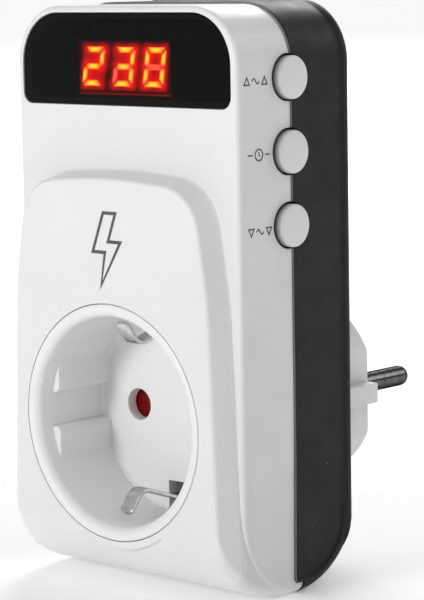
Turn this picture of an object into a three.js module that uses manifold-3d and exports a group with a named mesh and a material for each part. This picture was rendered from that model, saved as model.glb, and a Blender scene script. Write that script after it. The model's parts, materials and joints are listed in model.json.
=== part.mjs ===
// Plug-through mains voltage protector: a Schuko plug behind, a Schuko socket in front, an LED
// voltmeter and three setting buttons on one side.
// Millimetres, +Z up, -Y is the front (socket and display), +X is the button side.
// The origin is the centre of the plug's end face, where the object meets the wall socket.
import * as THREE from "three";
import { mergeVertices } from "three/addons/utils/BufferGeometryUtils.js";
import Module from "manifold-3d";

const wasm = await Module();
wasm.setup();

// ---------------------------------------------------------------- driving dimensions

const pinSpacing = 19;              // Schuko pin pitch, shared by plug and socket
const pinX = pinSpacing / 2;
const pinRadius = 2;
const pinLength = 19;

const bodyHalfWidth = 27.5;
const bodyTop = 74.9;
const bodyBottom = -31.3;
const bodyDepth = 29.4;             // front face to rear rim
const partingDepth = 13.8;          // front face to the seam between the two covers
const topCornerRadius = 10.5;
const bottomCornerRadius = 2.5;
const wall = 2;
const fit = 0.1;                    // clearance between fixed neighbours

const noseLength = 21.4;            // rear wall to plug end face
const rearRimHeight = 1.5;          // rear rim, proud of the rear wall
const rimWidth = 1.6;
const platformHeight = 5.1;         // socket platform, proud of the front face
const rearCoverStep = 0.4;          // the rear cover stands this proud of the front cover
const rearFlare = 0.3;              // and its rim flares this much further

const rearWallY = -noseLength;
const rearRimY = rearWallY + rearRimHeight;
const frontY = rearRimY - bodyDepth;
const partingY = frontY + partingDepth;
const platformY = frontY - platformHeight;
const rearInnerY = rearWallY - wall;
const tabY = partingY + 1.9;        // the front cover's bottom lip runs on past the seam
const lipThickness = 2.2;

// quarter ellipses that round the lower end, seen from the side: along Y and along Z
const frontRound = { y: 12.8, z: 17 };
const platformRound = { y: 17.7, z: 13.8 };
const rearRound = { y: 14.8, z: 11.9 };

const recessRadius = 19.3;
const recessDepth = 17.1;
const insertRadius = 21.7;
const collarRadius = 23.3;
const cupRadius = 20.9;
const padX = 17;                    // flats that guide the plug in the recess
const notchHalfHeight = 3.2;
const pinHoleRadius = 2.9;
const floorThickness = 2.1;
const floorY = platformY + recessDepth;
const floorBackY = floorY + floorThickness;
const clipSlot = { halfWidth: 2.1, inner: 13.6, outer: 19.2 };

const windowHalfWidth = 26.1;
const windowBottom = 57;
const windowTop = 73.75;
const windowThickness = 1.2;
const ledModule = { centreX: -0.9, halfWidth: 11.4, bottom: 58.75, top: 68.6, depth: 7.1 };
const digitPitch = 7.7;
const digit = { halfWidth: 2.35, halfHeight: 3.5, stroke: 1.0, lean: Math.tan(THREE.MathUtils.degToRad(9)) };
const digitPlate = { halfWidth: 3.7, halfHeight: 4.4, thickness: 0.12 };

const buttonZ = [62.1, 49.05, 36];
const buttonY = frontY + 13.3;
const buttonRadius = 3.85;
const buttonProud = 1.65;
const buttonHoleRadius = 4.2;
const buttonTravel = 0.5;

const boardThickness = 1.6;
const controlBoardY = -40.4;        // front face of the control board
const controlBoardBackY = controlBoardY + boardThickness;
const powerBoardY = -26;            // front face of the power board
const seat = 0.05;                  // gap under a component on its board

const guideY = floorBackY + seat;
const guideBackY = -31;
const shutterFrontY = floorBackY + 0.2;
const shutterThickness = 1.2;
const shutterTravel = 6.4;
const springTop = 10.9;
const springBottom = -1.9;

const noseRadius = 17.9;
const noseFlatX = 15.6;
const noseWall = 7;
const noseCavityRadius = 14.5;
const noseFlangeRadius = 20.6;
const noseRib = { x: 18.6, halfHeight: 1.95 };
const strapY = -28.8;
const strapThickness = 0.8;
const wireRadius = 0.9;

const caseScrews = [[-19.9, 68.7], [19.9, 68.7], [-21.3, -23.8], [21.3, -23.8]];
const postRadius = 3.2;
const wellRadius = 3.3;
const bossRadius = 4.1;
const wellFloorY = -31.2;

// ---------------------------------------------------------------- finishes

const finish = (color, roughness, metalness = 0) =>
  new THREE.MeshStandardMaterial({ color, roughness, metalness });

const whitePlastic = finish(0xe6e6e4, 0.42);
const darkPlastic = finish(0x2d2d2e, 0.5);
const greyPlastic = finish(0xc9c9c7, 0.45);
const smokedWindow = finish(0x0b0b0c, 0.08);
const redPlastic = finish(0xb01217, 0.3);
const litRed = finish(0xff3a10, 0.4);
const nickel = finish(0xb9b6b0, 0.25, 1);
const brass = finish(0xc9a24a, 0.35, 1);
const spring = finish(0x9a9a9c, 0.3, 1);
const screwSteel = finish(0x8d8f92, 0.35, 1);
const circuitBoard = finish(0x1f5a36, 0.5);
const blackComponent = finish(0x1b1b1d, 0.55);
const blueComponent = finish(0x2a4d9c, 0.45);
const yellowComponent = finish(0xd9b53a, 0.5);
const brownWire = finish(0x5a3420, 0.5);
const blueWire = finish(0x2b5fae, 0.5);

// ---------------------------------------------------------------- shape helpers

function toSolid(geometry) {
  const bare = geometry.clone();
  bare.deleteAttribute("normal");
  bare.deleteAttribute("uv");
  const merged = mergeVertices(bare, 1e-4);
  return new wasm.Manifold(new wasm.Mesh({
    numProp: 3,
    vertProperties: new Float32Array(merged.attributes.position.array),
    triVerts: new Uint32Array(merged.index.array),
  }));
}

function toGeometry(solid) {
  const mesh = solid.getMesh();
  const geometry = new THREE.BufferGeometry();
  geometry.setAttribute("position", new THREE.BufferAttribute(mesh.vertProperties, 3));
  geometry.setIndex(new THREE.BufferAttribute(mesh.triVerts, 1));
  geometry.computeVertexNormals();
  return geometry;
}

const joinAll = (solids) => solids.reduce((sum, solid) => sum.add(solid));
const cutAll = (solid, tools) => tools.reduce((rest, tool) => rest.subtract(tool), solid);

function block([x0, x1], [y0, y1], [z0, z1]) {
  const box = new THREE.BoxGeometry(x1 - x0, y1 - y0, z1 - z0);
  return toSolid(box.translate((x0 + x1) / 2, (y0 + y1) / 2, (z0 + z1) / 2));
}

// a cylinder along one axis, from `from` to `to`, centred on (a, b) in the other two axes
function rod(axis, radius, from, to, a, b, sides = 24) {
  const cylinder = new THREE.CylinderGeometry(radius, radius, to - from, sides);
  const middle = (from + to) / 2;
  if (axis === "x") return toSolid(cylinder.rotateZ(Math.PI / 2).translate(middle, a, b));
  if (axis === "z") return toSolid(cylinder.rotateX(Math.PI / 2).translate(a, b, middle));
  return toSolid(cylinder.translate(a, middle, b));
}

// a turned piece about the line x = cx, z = cz along Y; the profile is a list of [radius, y]
function turned(profile, cx, cz, sides = 24) {
  const points = profile.map(([radius, y]) => new THREE.Vector2(radius, y));
  return toSolid(new THREE.LatheGeometry(points, sides).translate(cx, 0, cz));
}

const anticlockwise = (points) =>
  (THREE.ShapeUtils.isClockWise(points) ? [...points].reverse() : points);

// a closed skin over rings of equal length; `place` turns a ring's (u, v) and level into a point
function loft(rings, place) {
  const size = rings[0].points.length;
  const positions = rings.flatMap(({ level, points }) => points.flatMap(({ x, y }) => place(x, y, level)));
  const index = [];
  for (let ring = 0; ring < rings.length - 1; ring += 1) {
    for (let i = 0; i < size; i += 1) {
      const a = ring * size + i;
      const b = ring * size + ((i + 1) % size);
      index.push(a, a + size, b, b, a + size, b + size);
    }
  }
  const last = (rings.length - 1) * size;
  for (const corners of THREE.ShapeUtils.triangulateShape([...rings[0].points], [])) {
    const triangle = corners.map((i) => rings[0].points[i]);
    const [a, b, c] = THREE.ShapeUtils.isClockWise(triangle) ? [...corners].reverse() : corners;
    index.push(a, b, c);
    index.push(last + a, last + c, last + b);
  }
  const geometry = new THREE.BufferGeometry();
  geometry.setAttribute("position", new THREE.Float32BufferAttribute(positions, 3));
  geometry.setIndex(index);
  return toSolid(geometry);
}

// an outline in the X-Z plane swept along Y; stations are [y, inset] pairs, front to rear
function sweepY(outline, stations) {
  const rings = stations.map(([level, inset]) => ({ level, points: outline(inset) }));
  return loft(rings, (x, z, y) => [x, y, z]);
}

// an outline in the X-Z plane, the same all along Y
function prismY(points, from, to) {
  const outline = anticlockwise(points);
  return sweepY(() => outline, [[from, 0], [to, 0]]);
}

// an outline in the Y-Z plane, the same all along X
function prismX(points, from, to) {
  const outline = anticlockwise(points);
  const rings = [to, from].map((level) => ({ level, points: outline }));
  return loft(rings, (y, z, x) => [x, y, z]);
}

// a convex polygon, anticlockwise, moved inwards by `inset`, with its corners {x, z, r} rounded
function roundedOutline(corners, inset, steps = 6) {
  const sides = corners.map((corner, i) => {
    const next = corners[(i + 1) % corners.length];
    const along = new THREE.Vector2(next.x - corner.x, next.z - corner.z).normalize();
    const inward = new THREE.Vector2(-along.y, along.x);
    const start = new THREE.Vector2(corner.x, corner.z).addScaledVector(inward, inset);
    return { along, inward, start };
  });
  return corners.flatMap((corner, i) => {
    const before = sides[(i + sides.length - 1) % sides.length];
    const after = sides[i];
    const turn = before.along.angle() - after.along.angle();
    const half = Math.abs(Math.atan2(Math.sin(turn), Math.cos(turn))) / 2;
    const gap = after.start.clone().sub(before.start);
    const reach = gap.cross(after.along) / before.along.cross(after.along);
    const tip = before.start.clone().addScaledVector(before.along, reach);
    const radius = Math.max(corner.r - inset, 0.05);
    const centre = tip.clone()
      .addScaledVector(before.along, -radius * Math.tan(half))
      .addScaledVector(before.inward, radius);
    const first = before.inward.angle() + Math.PI;
    return Array.from({ length: steps + 1 }, (_, step) => {
      const angle = first + (2 * half * step) / steps;
      return new THREE.Vector2(centre.x + radius * Math.cos(angle), centre.y + radius * Math.sin(angle));
    });
  });
}

// the corners of a symmetrical outline from its right half, listed from the bottom up
function mirrored(rightHalf) {
  const left = rightHalf.filter(({ x }) => x > 0).reverse().map(({ x, z, r }) => ({ x: -x, z, r }));
  return [...rightHalf, ...left];
}

// the front and bottom edge of the body seen from the side: straight down, then a quarter ellipse
function frontEdge(faceY, round, inset, steps) {
  return Array.from({ length: steps + 1 }, (_, step) => {
    const angle = (step / steps) * (Math.PI / 2);
    return new THREE.Vector2(
      faceY + round.y - (round.y - inset) * Math.cos(angle),
      bodyBottom + round.z - (round.z - inset) * Math.sin(angle),
    );
  });
}

// a slab as wide as the body whose outline is the side view, rounded at the lower end
function sideSlab(faceY, round, rearY, inset = 0, steps = 12) {
  const above = bodyTop + 5;
  const reach = bodyHalfWidth + 5;
  const front = frontEdge(faceY, round, inset, steps);
  const rear = frontEdge(-rearY, rearRound, inset, steps).reverse();
  const outline = [
    new THREE.Vector2(front[0].x, above),
    ...front,
    ...rear.map(({ x, y }) => new THREE.Vector2(-x, y)),
    new THREE.Vector2(-rear[rear.length - 1].x, above),
  ];
  return prismX(outline, -reach, reach);
}

// [y, inset] stations of a rounded edge that opens towards the rear
function roundedStart(faceY, radius, inset = 0, steps = 3) {
  return Array.from({ length: steps + 1 }, (_, step) => {
    const angle = (step / steps) * (Math.PI / 2);
    return [faceY + radius * (1 - Math.cos(angle)), inset + radius * (1 - Math.sin(angle))];
  });
}

// a strip of sheet metal bent along a path of [y, z] points, centred on x = middle
function bentStrip(path, thickness, width, middle = 0) {
  const points = path.map(([y, z]) => new THREE.Vector2(y, z));
  const normalAt = (i) => {
    const ahead = points[Math.min(i + 1, points.length - 1)].clone().sub(points[i]).normalize();
    const behind = points[i].clone().sub(points[Math.max(i - 1, 0)]).normalize();
    const along = ahead.clone().add(behind).normalize();
    const miter = 1 / Math.max(along.dot(ahead.lengthSq() ? ahead : behind), 0.5);
    return new THREE.Vector2(-along.y, along.x).multiplyScalar((thickness / 2) * miter);
  };
  const left = points.map((point, i) => point.clone().add(normalAt(i)));
  const right = points.map((point, i) => point.clone().sub(normalAt(i))).reverse();
  return prismX([...left, ...right], middle - width / 2, middle + width / 2);
}

function tubeAlong(curve, radius, sides, steps) {
  const section = new THREE.Shape().absarc(0, 0, radius, 0, 2 * Math.PI, false);
  const options = { steps, curveSegments: sides / 2, bevelEnabled: false, extrudePath: curve };
  return toSolid(new THREE.ExtrudeGeometry(section, options));
}

const part = new THREE.Group();

function addPiece(name, solid, material) {
  const mesh = new THREE.Mesh(toGeometry(solid), material);
  mesh.name = name;
  part.add(mesh);
}

// ---------------------------------------------------------------- casing

const bodyCorners = mirrored([
  { x: bodyHalfWidth, z: bodyBottom, r: bottomCornerRadius },
  { x: bodyHalfWidth, z: bodyTop, r: topCornerRadius },
]);
const bodyOutline = (inset) => roundedOutline(bodyCorners, inset);

const platformCorners = mirrored([
  { x: 27.4, z: bodyBottom, r: bottomCornerRadius },
  { x: 25.2, z: 24, r: 70 },
  { x: 21.9, z: 44.1, r: 10 },
  { x: 0, z: 45.8, r: 120 },
]);
const platformOutline = (inset) => roundedOutline(platformCorners, inset, 4);

const windowCorners = mirrored([
  { x: windowHalfWidth, z: windowBottom, r: 2.2 },
  { x: windowHalfWidth, z: windowTop, r: 9.2 },
]);
const windowOutline = (inset) => roundedOutline(windowCorners, inset);

const rimPocketCorners = mirrored([
  { x: bodyHalfWidth - rimWidth, z: bodyBottom + rearRound.z + rimWidth, r: 3 },
  { x: bodyHalfWidth - rimWidth, z: bodyTop - rimWidth, r: topCornerRadius - rimWidth },
]);
const rimPocketOutline = (inset) => roundedOutline(rimPocketCorners, inset);

const buttonHoles = () =>
  buttonZ.map((z) => rod("x", buttonHoleRadius, bodyHalfWidth - 4, bodyHalfWidth + 3, buttonY, z));

// the shallow U-shaped panel in each side, deepest at the bottom and fading out upwards
function sidePanels(proud) {
  const margin = 2.4;
  const depth = 0.45;
  const fadeZ = 2;
  const surface = bodyHalfWidth + proud;
  const slab = sideSlab(frontY, frontRound, rearRimY, margin);
  const wedges = [1, -1].map((side) => {
    const points = [
      new THREE.Vector2(side * (surface - depth), bodyBottom),
      new THREE.Vector2(side * (surface + 1), bodyBottom),
      new THREE.Vector2(side * (surface + 1), fadeZ),
      new THREE.Vector2(side * surface, fadeZ),
    ];
    return prismY(points, frontY, rearRimY);
  });
  return wedges.map((solid) => solid.intersect(slab));
}

function buildFrontCover() {
  const back = partingY;
  const shell = sweepY(bodyOutline, [...roundedStart(frontY, 1.5), [back, 0]])
    .intersect(sideSlab(frontY, frontRound, rearRimY));
  const lip = sweepY(bodyOutline, [[back - 1, 0], [tabY, 0]])
    .intersect(sideSlab(frontY, frontRound, rearRimY))
    .intersect(block([-30, 30], [back - 1, tabY], [bodyBottom - 1, bodyBottom + lipThickness]));
  const platform = sweepY(platformOutline, [...roundedStart(platformY, 1.2, 0.5), [frontY, 0], [back - 1, 0]])
    .intersect(sideSlab(platformY, platformRound, rearRimY));
  const collar = rod("y", collarRadius, platformY, -40, 0, 0, 64);
  const cavity = sweepY(bodyOutline, [[frontY + wall, wall], [tabY + 1, wall]])
    .intersect(sideSlab(frontY, frontRound, rearRimY, wall));
  const platformCavity = sweepY(platformOutline, [[platformY + wall, wall + 0.7], [back, wall + 0.7]])
    .intersect(sideSlab(platformY, platformRound, rearRimY, wall));
  const hollow = cavity.add(platformCavity).subtract(collar);
  const posts = caseScrews.map(([x, z]) => {
    const start = z > 0 ? frontY + 1.8 : platformY;
    return rod("y", postRadius, start, partingY - fit, x, z, 16);
  });
  const bores = caseScrews.map(([x, z]) => rod("y", 1.5, wellFloorY - 13, wellFloorY, x, z, 12));
  const opening = rod("y", insertRadius + fit, platformY - 1, frontY + 3.2, 0, 0, 64);
  const cupBore = rod("y", cupRadius + fit, platformY - 1, -30, 0, 0, 64);
  const rebate = sweepY(windowOutline, [[frontY - 1, 0], [frontY + windowThickness + fit, 0]]);
  const sight = sweepY(windowOutline, [[frontY, 1.2], [frontY + wall + 1, 1.2]]);
  const outer = joinAll([shell, lip, platform, collar]);
  const inside = block([-25, 25], [frontY + 3, wellFloorY], [-26, 72]);
  const standingPosts = joinAll(posts).intersect(outer.add(inside));
  return cutAll(outer.subtract(hollow).add(standingPosts), [
    opening,
    cupBore,
    rebate,
    sight,
    ...bores,
    ...buttonHoles(),
    ...sidePanels(0),
  ]);
}

function buildRearCover() {
  const start = partingY + seat;
  const stations = [
    [start, -rearCoverStep + 0.15],
    [start + 0.2, -rearCoverStep],
    [rearRimY - 3.2, -rearCoverStep],
    [rearRimY - 1.4, -rearCoverStep - rearFlare],
    [rearRimY - 0.5, -rearCoverStep - rearFlare],
    [rearRimY, -rearCoverStep + 0.2],
  ];
  const shell = sweepY(bodyOutline, stations).intersect(sideSlab(frontY, frontRound, rearRimY));
  const cavity = sweepY(bodyOutline, [[start - 1, wall], [rearInnerY, wall]])
    .intersect(sideSlab(frontY, frontRound, rearRimY, wall));
  const rimPocket = sweepY(rimPocketOutline, [[rearWallY, 0], [rearRimY + 1, -0.3]]);
  const lipTop = bodyBottom + lipThickness + fit;
  const lipSpace = block([-30, 30], [start - 1, tabY + fit], [bodyBottom - 1, lipTop]);
  const bosses = caseScrews.map(([x, z]) => rod("y", bossRadius, start, rearWallY - 0.5, x, z, 20));
  const outside = sweepY(bodyOutline, [[start - 5, 0], [rearWallY, 0]])
    .intersect(sideSlab(frontY, frontRound, rearRimY));
  const wells = caseScrews.map(([x, z]) => rod("y", wellRadius, wellFloorY, rearRimY + 1, x, z, 20));
  const bores = caseScrews.map(([x, z]) => rod("y", 1.6, wellFloorY - 5, rearRimY, x, z, 12));
  const noseHole = rod("y", noseRadius + 0.3, rearInnerY - 1, rearRimY + 1, 0, 0, 48);
  const ribSpace = noseRib.halfHeight + 0.3;
  const ribSlot = block([-19, 19], [rearInnerY - 1, rearRimY + 1], [-ribSpace, ribSpace]);
  const body = shell.subtract(cavity).add(joinAll(bosses).intersect(outside));
  return cutAll(body, [
    rimPocket,
    lipSpace,
    noseHole,
    ribSlot,
    ...wells,
    ...bores,
    ...buttonHoles(),
    ...sidePanels(rearCoverStep),
  ]);
}

function buildCaseScrew([x, z]) {
  const headBase = wellFloorY + seat;
  const headTop = headBase + 1.9;
  const profile = [
    [0, headBase - 12],
    [1.1, headBase - 11],
    [1.35, headBase - 10],
    [1.35, headBase],
    [2.8, headBase],
    [2.8, headBase + 0.9],
    [2, headTop - 0.2],
    [0, headTop],
  ];
  const slotHalf = 0.35;
  const slotReach = 1.6;
  const slotFloor = headTop - 1.1;
  return cutAll(turned(profile, x, z, 12), [
    block([x - slotReach, x + slotReach], [slotFloor, headTop + 1], [z - slotHalf, z + slotHalf]),
    block([x - slotHalf, x + slotHalf], [slotFloor, headTop + 1], [z - slotReach, z + slotReach]),
  ]);
}

// ---------------------------------------------------------------- display

function buildWindow() {
  const face = frontY + seat;
  return sweepY(windowOutline, [[face, 0.35], [face + 0.25, fit], [face + windowThickness, fit]]);
}

function buildLedModule() {
  const { centreX, halfWidth, bottom, top, depth } = ledModule;
  const back = controlBoardY - seat;
  return block([centreX - halfWidth, centreX + halfWidth], [back - depth, back], [bottom, top]);
}

// one bar of a seven-segment digit, from (x0, z0) to (x1, z1), with pointed ends
function segmentBar(x0, z0, x1, z1) {
  const along = new THREE.Vector2(x1 - x0, z1 - z0).normalize();
  const half = digit.stroke / 2;
  const side = new THREE.Vector2(-along.y, along.x).multiplyScalar(half);
  const start = new THREE.Vector2(x0, z0).addScaledVector(along, 0.12);
  const end = new THREE.Vector2(x1, z1).addScaledVector(along, -0.12);
  const shoulderStart = start.clone().addScaledVector(along, half);
  const shoulderEnd = end.clone().addScaledVector(along, -half);
  return [
    start,
    shoulderStart.clone().sub(side),
    shoulderEnd.clone().sub(side),
    end,
    shoulderEnd.clone().add(side),
    shoulderStart.clone().add(side),
  ];
}

// the light window of one digit: a thin plate with its seven bars and decimal point standing out
function buildDigit(centreX) {
  const centreZ = (ledModule.bottom + ledModule.top) / 2;
  const plateBack = controlBoardY - seat - ledModule.depth - seat;
  const plateFace = plateBack - digitPlate.thickness;
  const barFace = plateFace - digitPlate.thickness;
  const x = digit.halfWidth - digit.stroke / 2;
  const z = digit.halfHeight - digit.stroke / 2;
  const bars = [
    [-x, z, x, z],
    [x, z, x, 0],
    [x, 0, x, -z],
    [-x, -z, x, -z],
    [-x, 0, -x, -z],
    [-x, z, -x, 0],
    [-x, 0, x, 0],
  ];
  const lean = (point) =>
    new THREE.Vector2(centreX + point.x + point.y * digit.lean, centreZ + point.y);
  const raised = (points) => prismY(points.map(lean), barFace, plateFace + 0.02);
  const dotCentre = lean(new THREE.Vector2(x + 1.35, -z));
  const dot = rod("y", 0.45, barFace, plateFace + 0.02, dotCentre.x, dotCentre.y, 10);
  const plate = block(
    [centreX - digitPlate.halfWidth, centreX + digitPlate.halfWidth],
    [plateFace, plateBack],
    [centreZ - digitPlate.halfHeight, centreZ + digitPlate.halfHeight],
  );
  return joinAll([plate, dot, ...bars.map((bar) => raised(segmentBar(...bar)))]);
}

// ---------------------------------------------------------------- socket

const pinHoles = (from, to) => [-pinX, pinX].map((x) => rod("y", pinHoleRadius, from, to, x, 0));

const clipSlots = (from, to) => [1, -1].map((side) => {
  const [low, high] = [side * clipSlot.inner, side * clipSlot.outer].sort((a, b) => a - b);
  return block([-clipSlot.halfWidth, clipSlot.halfWidth], [from, to], [low, high]);
});

function buildSocketInsert() {
  const lipRadius = 1.7;
  const lipSteps = 5;
  const lip = Array.from({ length: lipSteps + 1 }, (_, step) => {
    const angle = (step / lipSteps) * (Math.PI / 2);
    return [
      recessRadius + lipRadius * (1 - Math.sin(angle)),
      platformY - 0.2 + lipRadius * (1 - Math.cos(angle)),
    ];
  });
  const cup = turned([
    [0, floorBackY],
    [cupRadius, floorBackY],
    [cupRadius, frontY + 3],
    [insertRadius, frontY + 3],
    [insertRadius, platformY + 0.2],
    [insertRadius - 0.3, platformY - 0.1],
    ...lip,
    [recessRadius, floorY],
    [0, floorY],
  ].reverse(), 0, 0, 64);
  const padStartY = floorY - 13.6;
  const padRing = rod("y", recessRadius + 0.6, padStartY, floorY + 0.5, 0, 0, 64);
  const padChamfer = 0.7;
  const pads = [1, -1].flatMap((side) => [1, -1].map((end) => {
    const points = [
      new THREE.Vector2(side * padX, end * (notchHalfHeight + padChamfer)),
      new THREE.Vector2(side * padX, end * 12),
      new THREE.Vector2(side * (recessRadius + 1), end * 12),
      new THREE.Vector2(side * (recessRadius + 1), end * notchHalfHeight),
      new THREE.Vector2(side * (padX + padChamfer), end * notchHalfHeight),
      new THREE.Vector2(side * (padX + 0.3 * padChamfer), end * (notchHalfHeight + 0.3 * padChamfer)),
    ];
    return prismY(points, padStartY, floorY + 0.5).intersect(padRing);
  }));
  return cutAll(joinAll([cup, ...pads]), [
    ...pinHoles(floorY - 1, floorBackY + 1),
    ...clipSlots(floorY - 0.5, floorBackY + 1),
  ]);
}

// the tray behind the socket floor that the shutter slides in
function buildShutterGuide() {
  const trayY = shutterFrontY + shutterThickness + 0.2;
  const disc = rod("y", 19.5, guideY, guideBackY, 0, 0, 40);
  const tray = block([-13.8, 13.8], [guideY - 1, trayY], [-10.8, 11]);
  const springBay = block([-2, 2], [guideY - 1, guideBackY - 0.8], [springBottom - 0.2, springTop + 0.1]);
  return cutAll(disc, [
    tray,
    springBay,
    ...pinHoles(guideY, guideBackY + 1),
    ...clipSlots(guideY - 1, guideBackY + 1),
  ]);
}

// the red shutter: its plate covers both pin holes, and its two holes meet them once it has moved up
function buildShutter() {
  const back = shutterFrontY + shutterThickness;
  const plate = block([-13.4, 13.4], [shutterFrontY, back], [-10.4, 4.2]);
  const holes = [-pinX, pinX].map((x) =>
    rod("y", pinHoleRadius, shutterFrontY - 1, back + 1, x, -shutterTravel));
  const springNotch = block([-1.9, 1.9], [shutterFrontY - 1, back + 1], [springBottom - 0.1, 5]);
  return cutAll(plate, [...holes, springNotch]);
}

class SpringCoil extends THREE.Curve {
  constructor(radius, turns, y, bottom, top) {
    super();
    Object.assign(this, { radius, turns, y, bottom, top });
  }

  getPoint(t, target = new THREE.Vector3()) {
    const angle = 2 * Math.PI * this.turns * t;
    const z = THREE.MathUtils.lerp(this.bottom, this.top, t);
    return target.set(this.radius * Math.cos(angle), this.y + this.radius * Math.sin(angle), z);
  }
}

function buildShutterSpring() {
  const wire = 0.22;
  const turns = 6;
  const middleY = shutterFrontY + 1.6;
  const coil = new SpringCoil(1.25, turns, middleY, springBottom + wire, springTop - wire);
  return tubeAlong(coil, wire, 6, turns * 9);
}

// the sprung earth strip in the recess: out of the floor, over its crest and back towards the wall
function buildEarthClip(side) {
  const path = [
    [strapY - seat, 16.6],
    [floorY - 0.3, 16.4],
    [-44.8, 14.1],
    [-46.4, 13.6],
    [-47.7, 13.7],
    [-48.8, 14.4],
    [-50.9, 17.3],
  ];
  return bentStrip(path.map(([y, z]) => [y, side * z]), 0.8, 3.2);
}

function buildEarthStrap() {
  return block([-3.2, 3.2], [strapY, strapY + strapThickness], [-17.7, 17.7]);
}

// the brass sleeve that grips an inserted pin, with a tail for its wire or link
function buildContact(x) {
  const sleeve = turned([[2.45, -30.9], [3, -30.9], [3, -23.2], [2.45, -23.2], [2.45, -30.9]], x, 0);
  const tail = block([x - 1.5, x + 1.5], [-24.2, -23.4], [2.7, 8]);
  return x < 0 ? sleeve.add(tail) : sleeve;
}

function buildNeutralLink() {
  return block([pinX - 1.5, pinX + 1.5], [-26, -9], [3.1, 3.9]);
}

// ---------------------------------------------------------------- plug

function buildPlugBase() {
  const barrel = turned([
    [0, rearInnerY - 2.05],
    [noseFlangeRadius, rearInnerY - 2.05],
    [noseFlangeRadius, rearInnerY - seat],
    [noseRadius, rearInnerY - seat],
    [noseRadius, -0.8],
    [noseRadius - 0.25, -0.25],
    [noseRadius - 0.8, 0],
    [0, 0],
  ], 0, 0, 48);
  const flats = [1, -1].map((side) => {
    const [low, high] = [side * noseFlatX, side * 30].sort((a, b) => a - b);
    return block([low, high], [rearInnerY - seat, 1], [-20, 20]);
  });
  const ribs = [1, -1].map((side) => {
    const [low, high] = [side * (noseFlatX - 0.5), side * noseRib.x].sort((a, b) => a - b);
    return block([low, high], [rearInnerY - 1, -0.4], [-noseRib.halfHeight, noseRib.halfHeight]);
  });
  const grooves = [1, -1].map((side) => {
    const [low, high] = [side * 16.2, side * 21].sort((a, b) => a - b);
    return block([-3.3, 3.3], [-27, -3], [low, high]);
  });
  const cavity = rod("y", noseCavityRadius, -27, -noseWall, 0, 0, 40);
  const bores = [-pinX, pinX].map((x) => rod("y", pinRadius + seat, -noseWall - 1, 1, x, 0));
  return cutAll(cutAll(barrel, flats).add(joinAll(ribs)), [...grooves, cavity, ...bores]);
}

function buildPlugPin(x) {
  return turned([
    [0, -13],
    [3, -13],
    [3, -noseWall - seat],
    [pinRadius, -noseWall - seat],
    [pinRadius, pinLength - 1.7],
    [0.93 * pinRadius, pinLength - 0.9],
    [0.7 * pinRadius, pinLength - 0.25],
    [0.4 * pinRadius, pinLength],
    [0, pinLength],
  ], x, 0);
}

function buildPlugEarthContact(side) {
  const path = [
    [strapY + strapThickness + seat, 17],
    [-19, 17],
    [-15, 17.5],
    [-8, 17.5],
    [-4, 16.9],
  ];
  return bentStrip(path.map(([y, z]) => [y, side * z]), 0.8, 5.8);
}

// ---------------------------------------------------------------- electronics

// the control board steps in at its top corners, past the casing's screw posts
function buildControlBoard() {
  const corners = [
    [-23, 31], [23, 31], [23, 64.4], [16.4, 64.4], [16.4, 71.5], [-16.4, 71.5], [-16.4, 64.4], [-23, 64.4],
  ];
  return prismY(corners.map(([x, z]) => new THREE.Vector2(x, z)), controlBoardY, controlBoardBackY);
}

const onPowerBoard = (x, z, height) => block(x, [powerBoardY - seat - height, powerBoardY - seat], z);
const standing = (radius, height, x, z) =>
  rod("y", radius, powerBoardY - seat - height, powerBoardY - seat, x, z, 20);

function buildVaristor() {
  const disc = rod("x", 5, -5.5, -1.5, powerBoardY - 6.3, 33, 20);
  const foot = block([-4.5, -2.5], [powerBoardY - 3, powerBoardY - seat], [30.5, 35.5]);
  return disc.add(foot);
}

const switchBack = 17.5;
const switchFace = 21.5;
const switchHalfHeight = 2.1;

function buildSwitchBody(z) {
  const depth = [controlBoardBackY + seat, buttonY + 1.8];
  const shell = block([switchBack, switchFace], depth, [z - switchHalfHeight, z + switchHalfHeight]);
  return shell.subtract(rod("x", 1.5, switchFace - 2, switchFace + 1, buttonY, z, 16));
}

function buildSwitchStem(z) {
  return rod("x", 1.1, switchFace - 1.2, 23.4, buttonY, z, 16);
}

// the cap: a rounded disc outside, a flange that holds it behind the side wall, and a hub on the switch
function buildButton(z) {
  const face = bodyHalfWidth + buttonProud;
  const edge = 0.7;
  const flange = { radius: 4.55, inner: 24.1, outer: 24.9 };
  const hub = { radius: 1.7, end: 23.45 };
  const profile = [
    [0, hub.end],
    [hub.radius, hub.end],
    [hub.radius, flange.inner],
    [flange.radius, flange.inner],
    [flange.radius, flange.outer],
    [buttonRadius, flange.outer],
    [buttonRadius, face - edge],
    [buttonRadius - 0.2, face - 0.2],
    [buttonRadius - edge, face],
    [0, face],
  ];
  const points = profile.map(([radius, x]) => new THREE.Vector2(radius, x));
  const lathe = new THREE.LatheGeometry(points, 28).rotateZ(-Math.PI / 2);
  return toSolid(lathe.translate(0, buttonY, z));
}

function buildWire(points) {
  const curve = new THREE.CatmullRomCurve3(points.map(([x, y, z]) => new THREE.Vector3(x, y, z)));
  return tubeAlong(curve, wireRadius, 8, 12);
}

// ---------------------------------------------------------------- assembly

addPiece("front_cover", buildFrontCover(), whitePlastic);
addPiece("rear_cover", buildRearCover(), darkPlastic);
caseScrews.forEach((place, i) => addPiece(`case_screw_${i + 1}`, buildCaseScrew(place), screwSteel));

addPiece("display_window", buildWindow(), smokedWindow);
addPiece("led_module", buildLedModule(), blackComponent);
[-digitPitch, 0, digitPitch].forEach((x, i) => {
  addPiece(`led_digit_${i + 1}`, buildDigit(ledModule.centreX + x), litRed);
});

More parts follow.
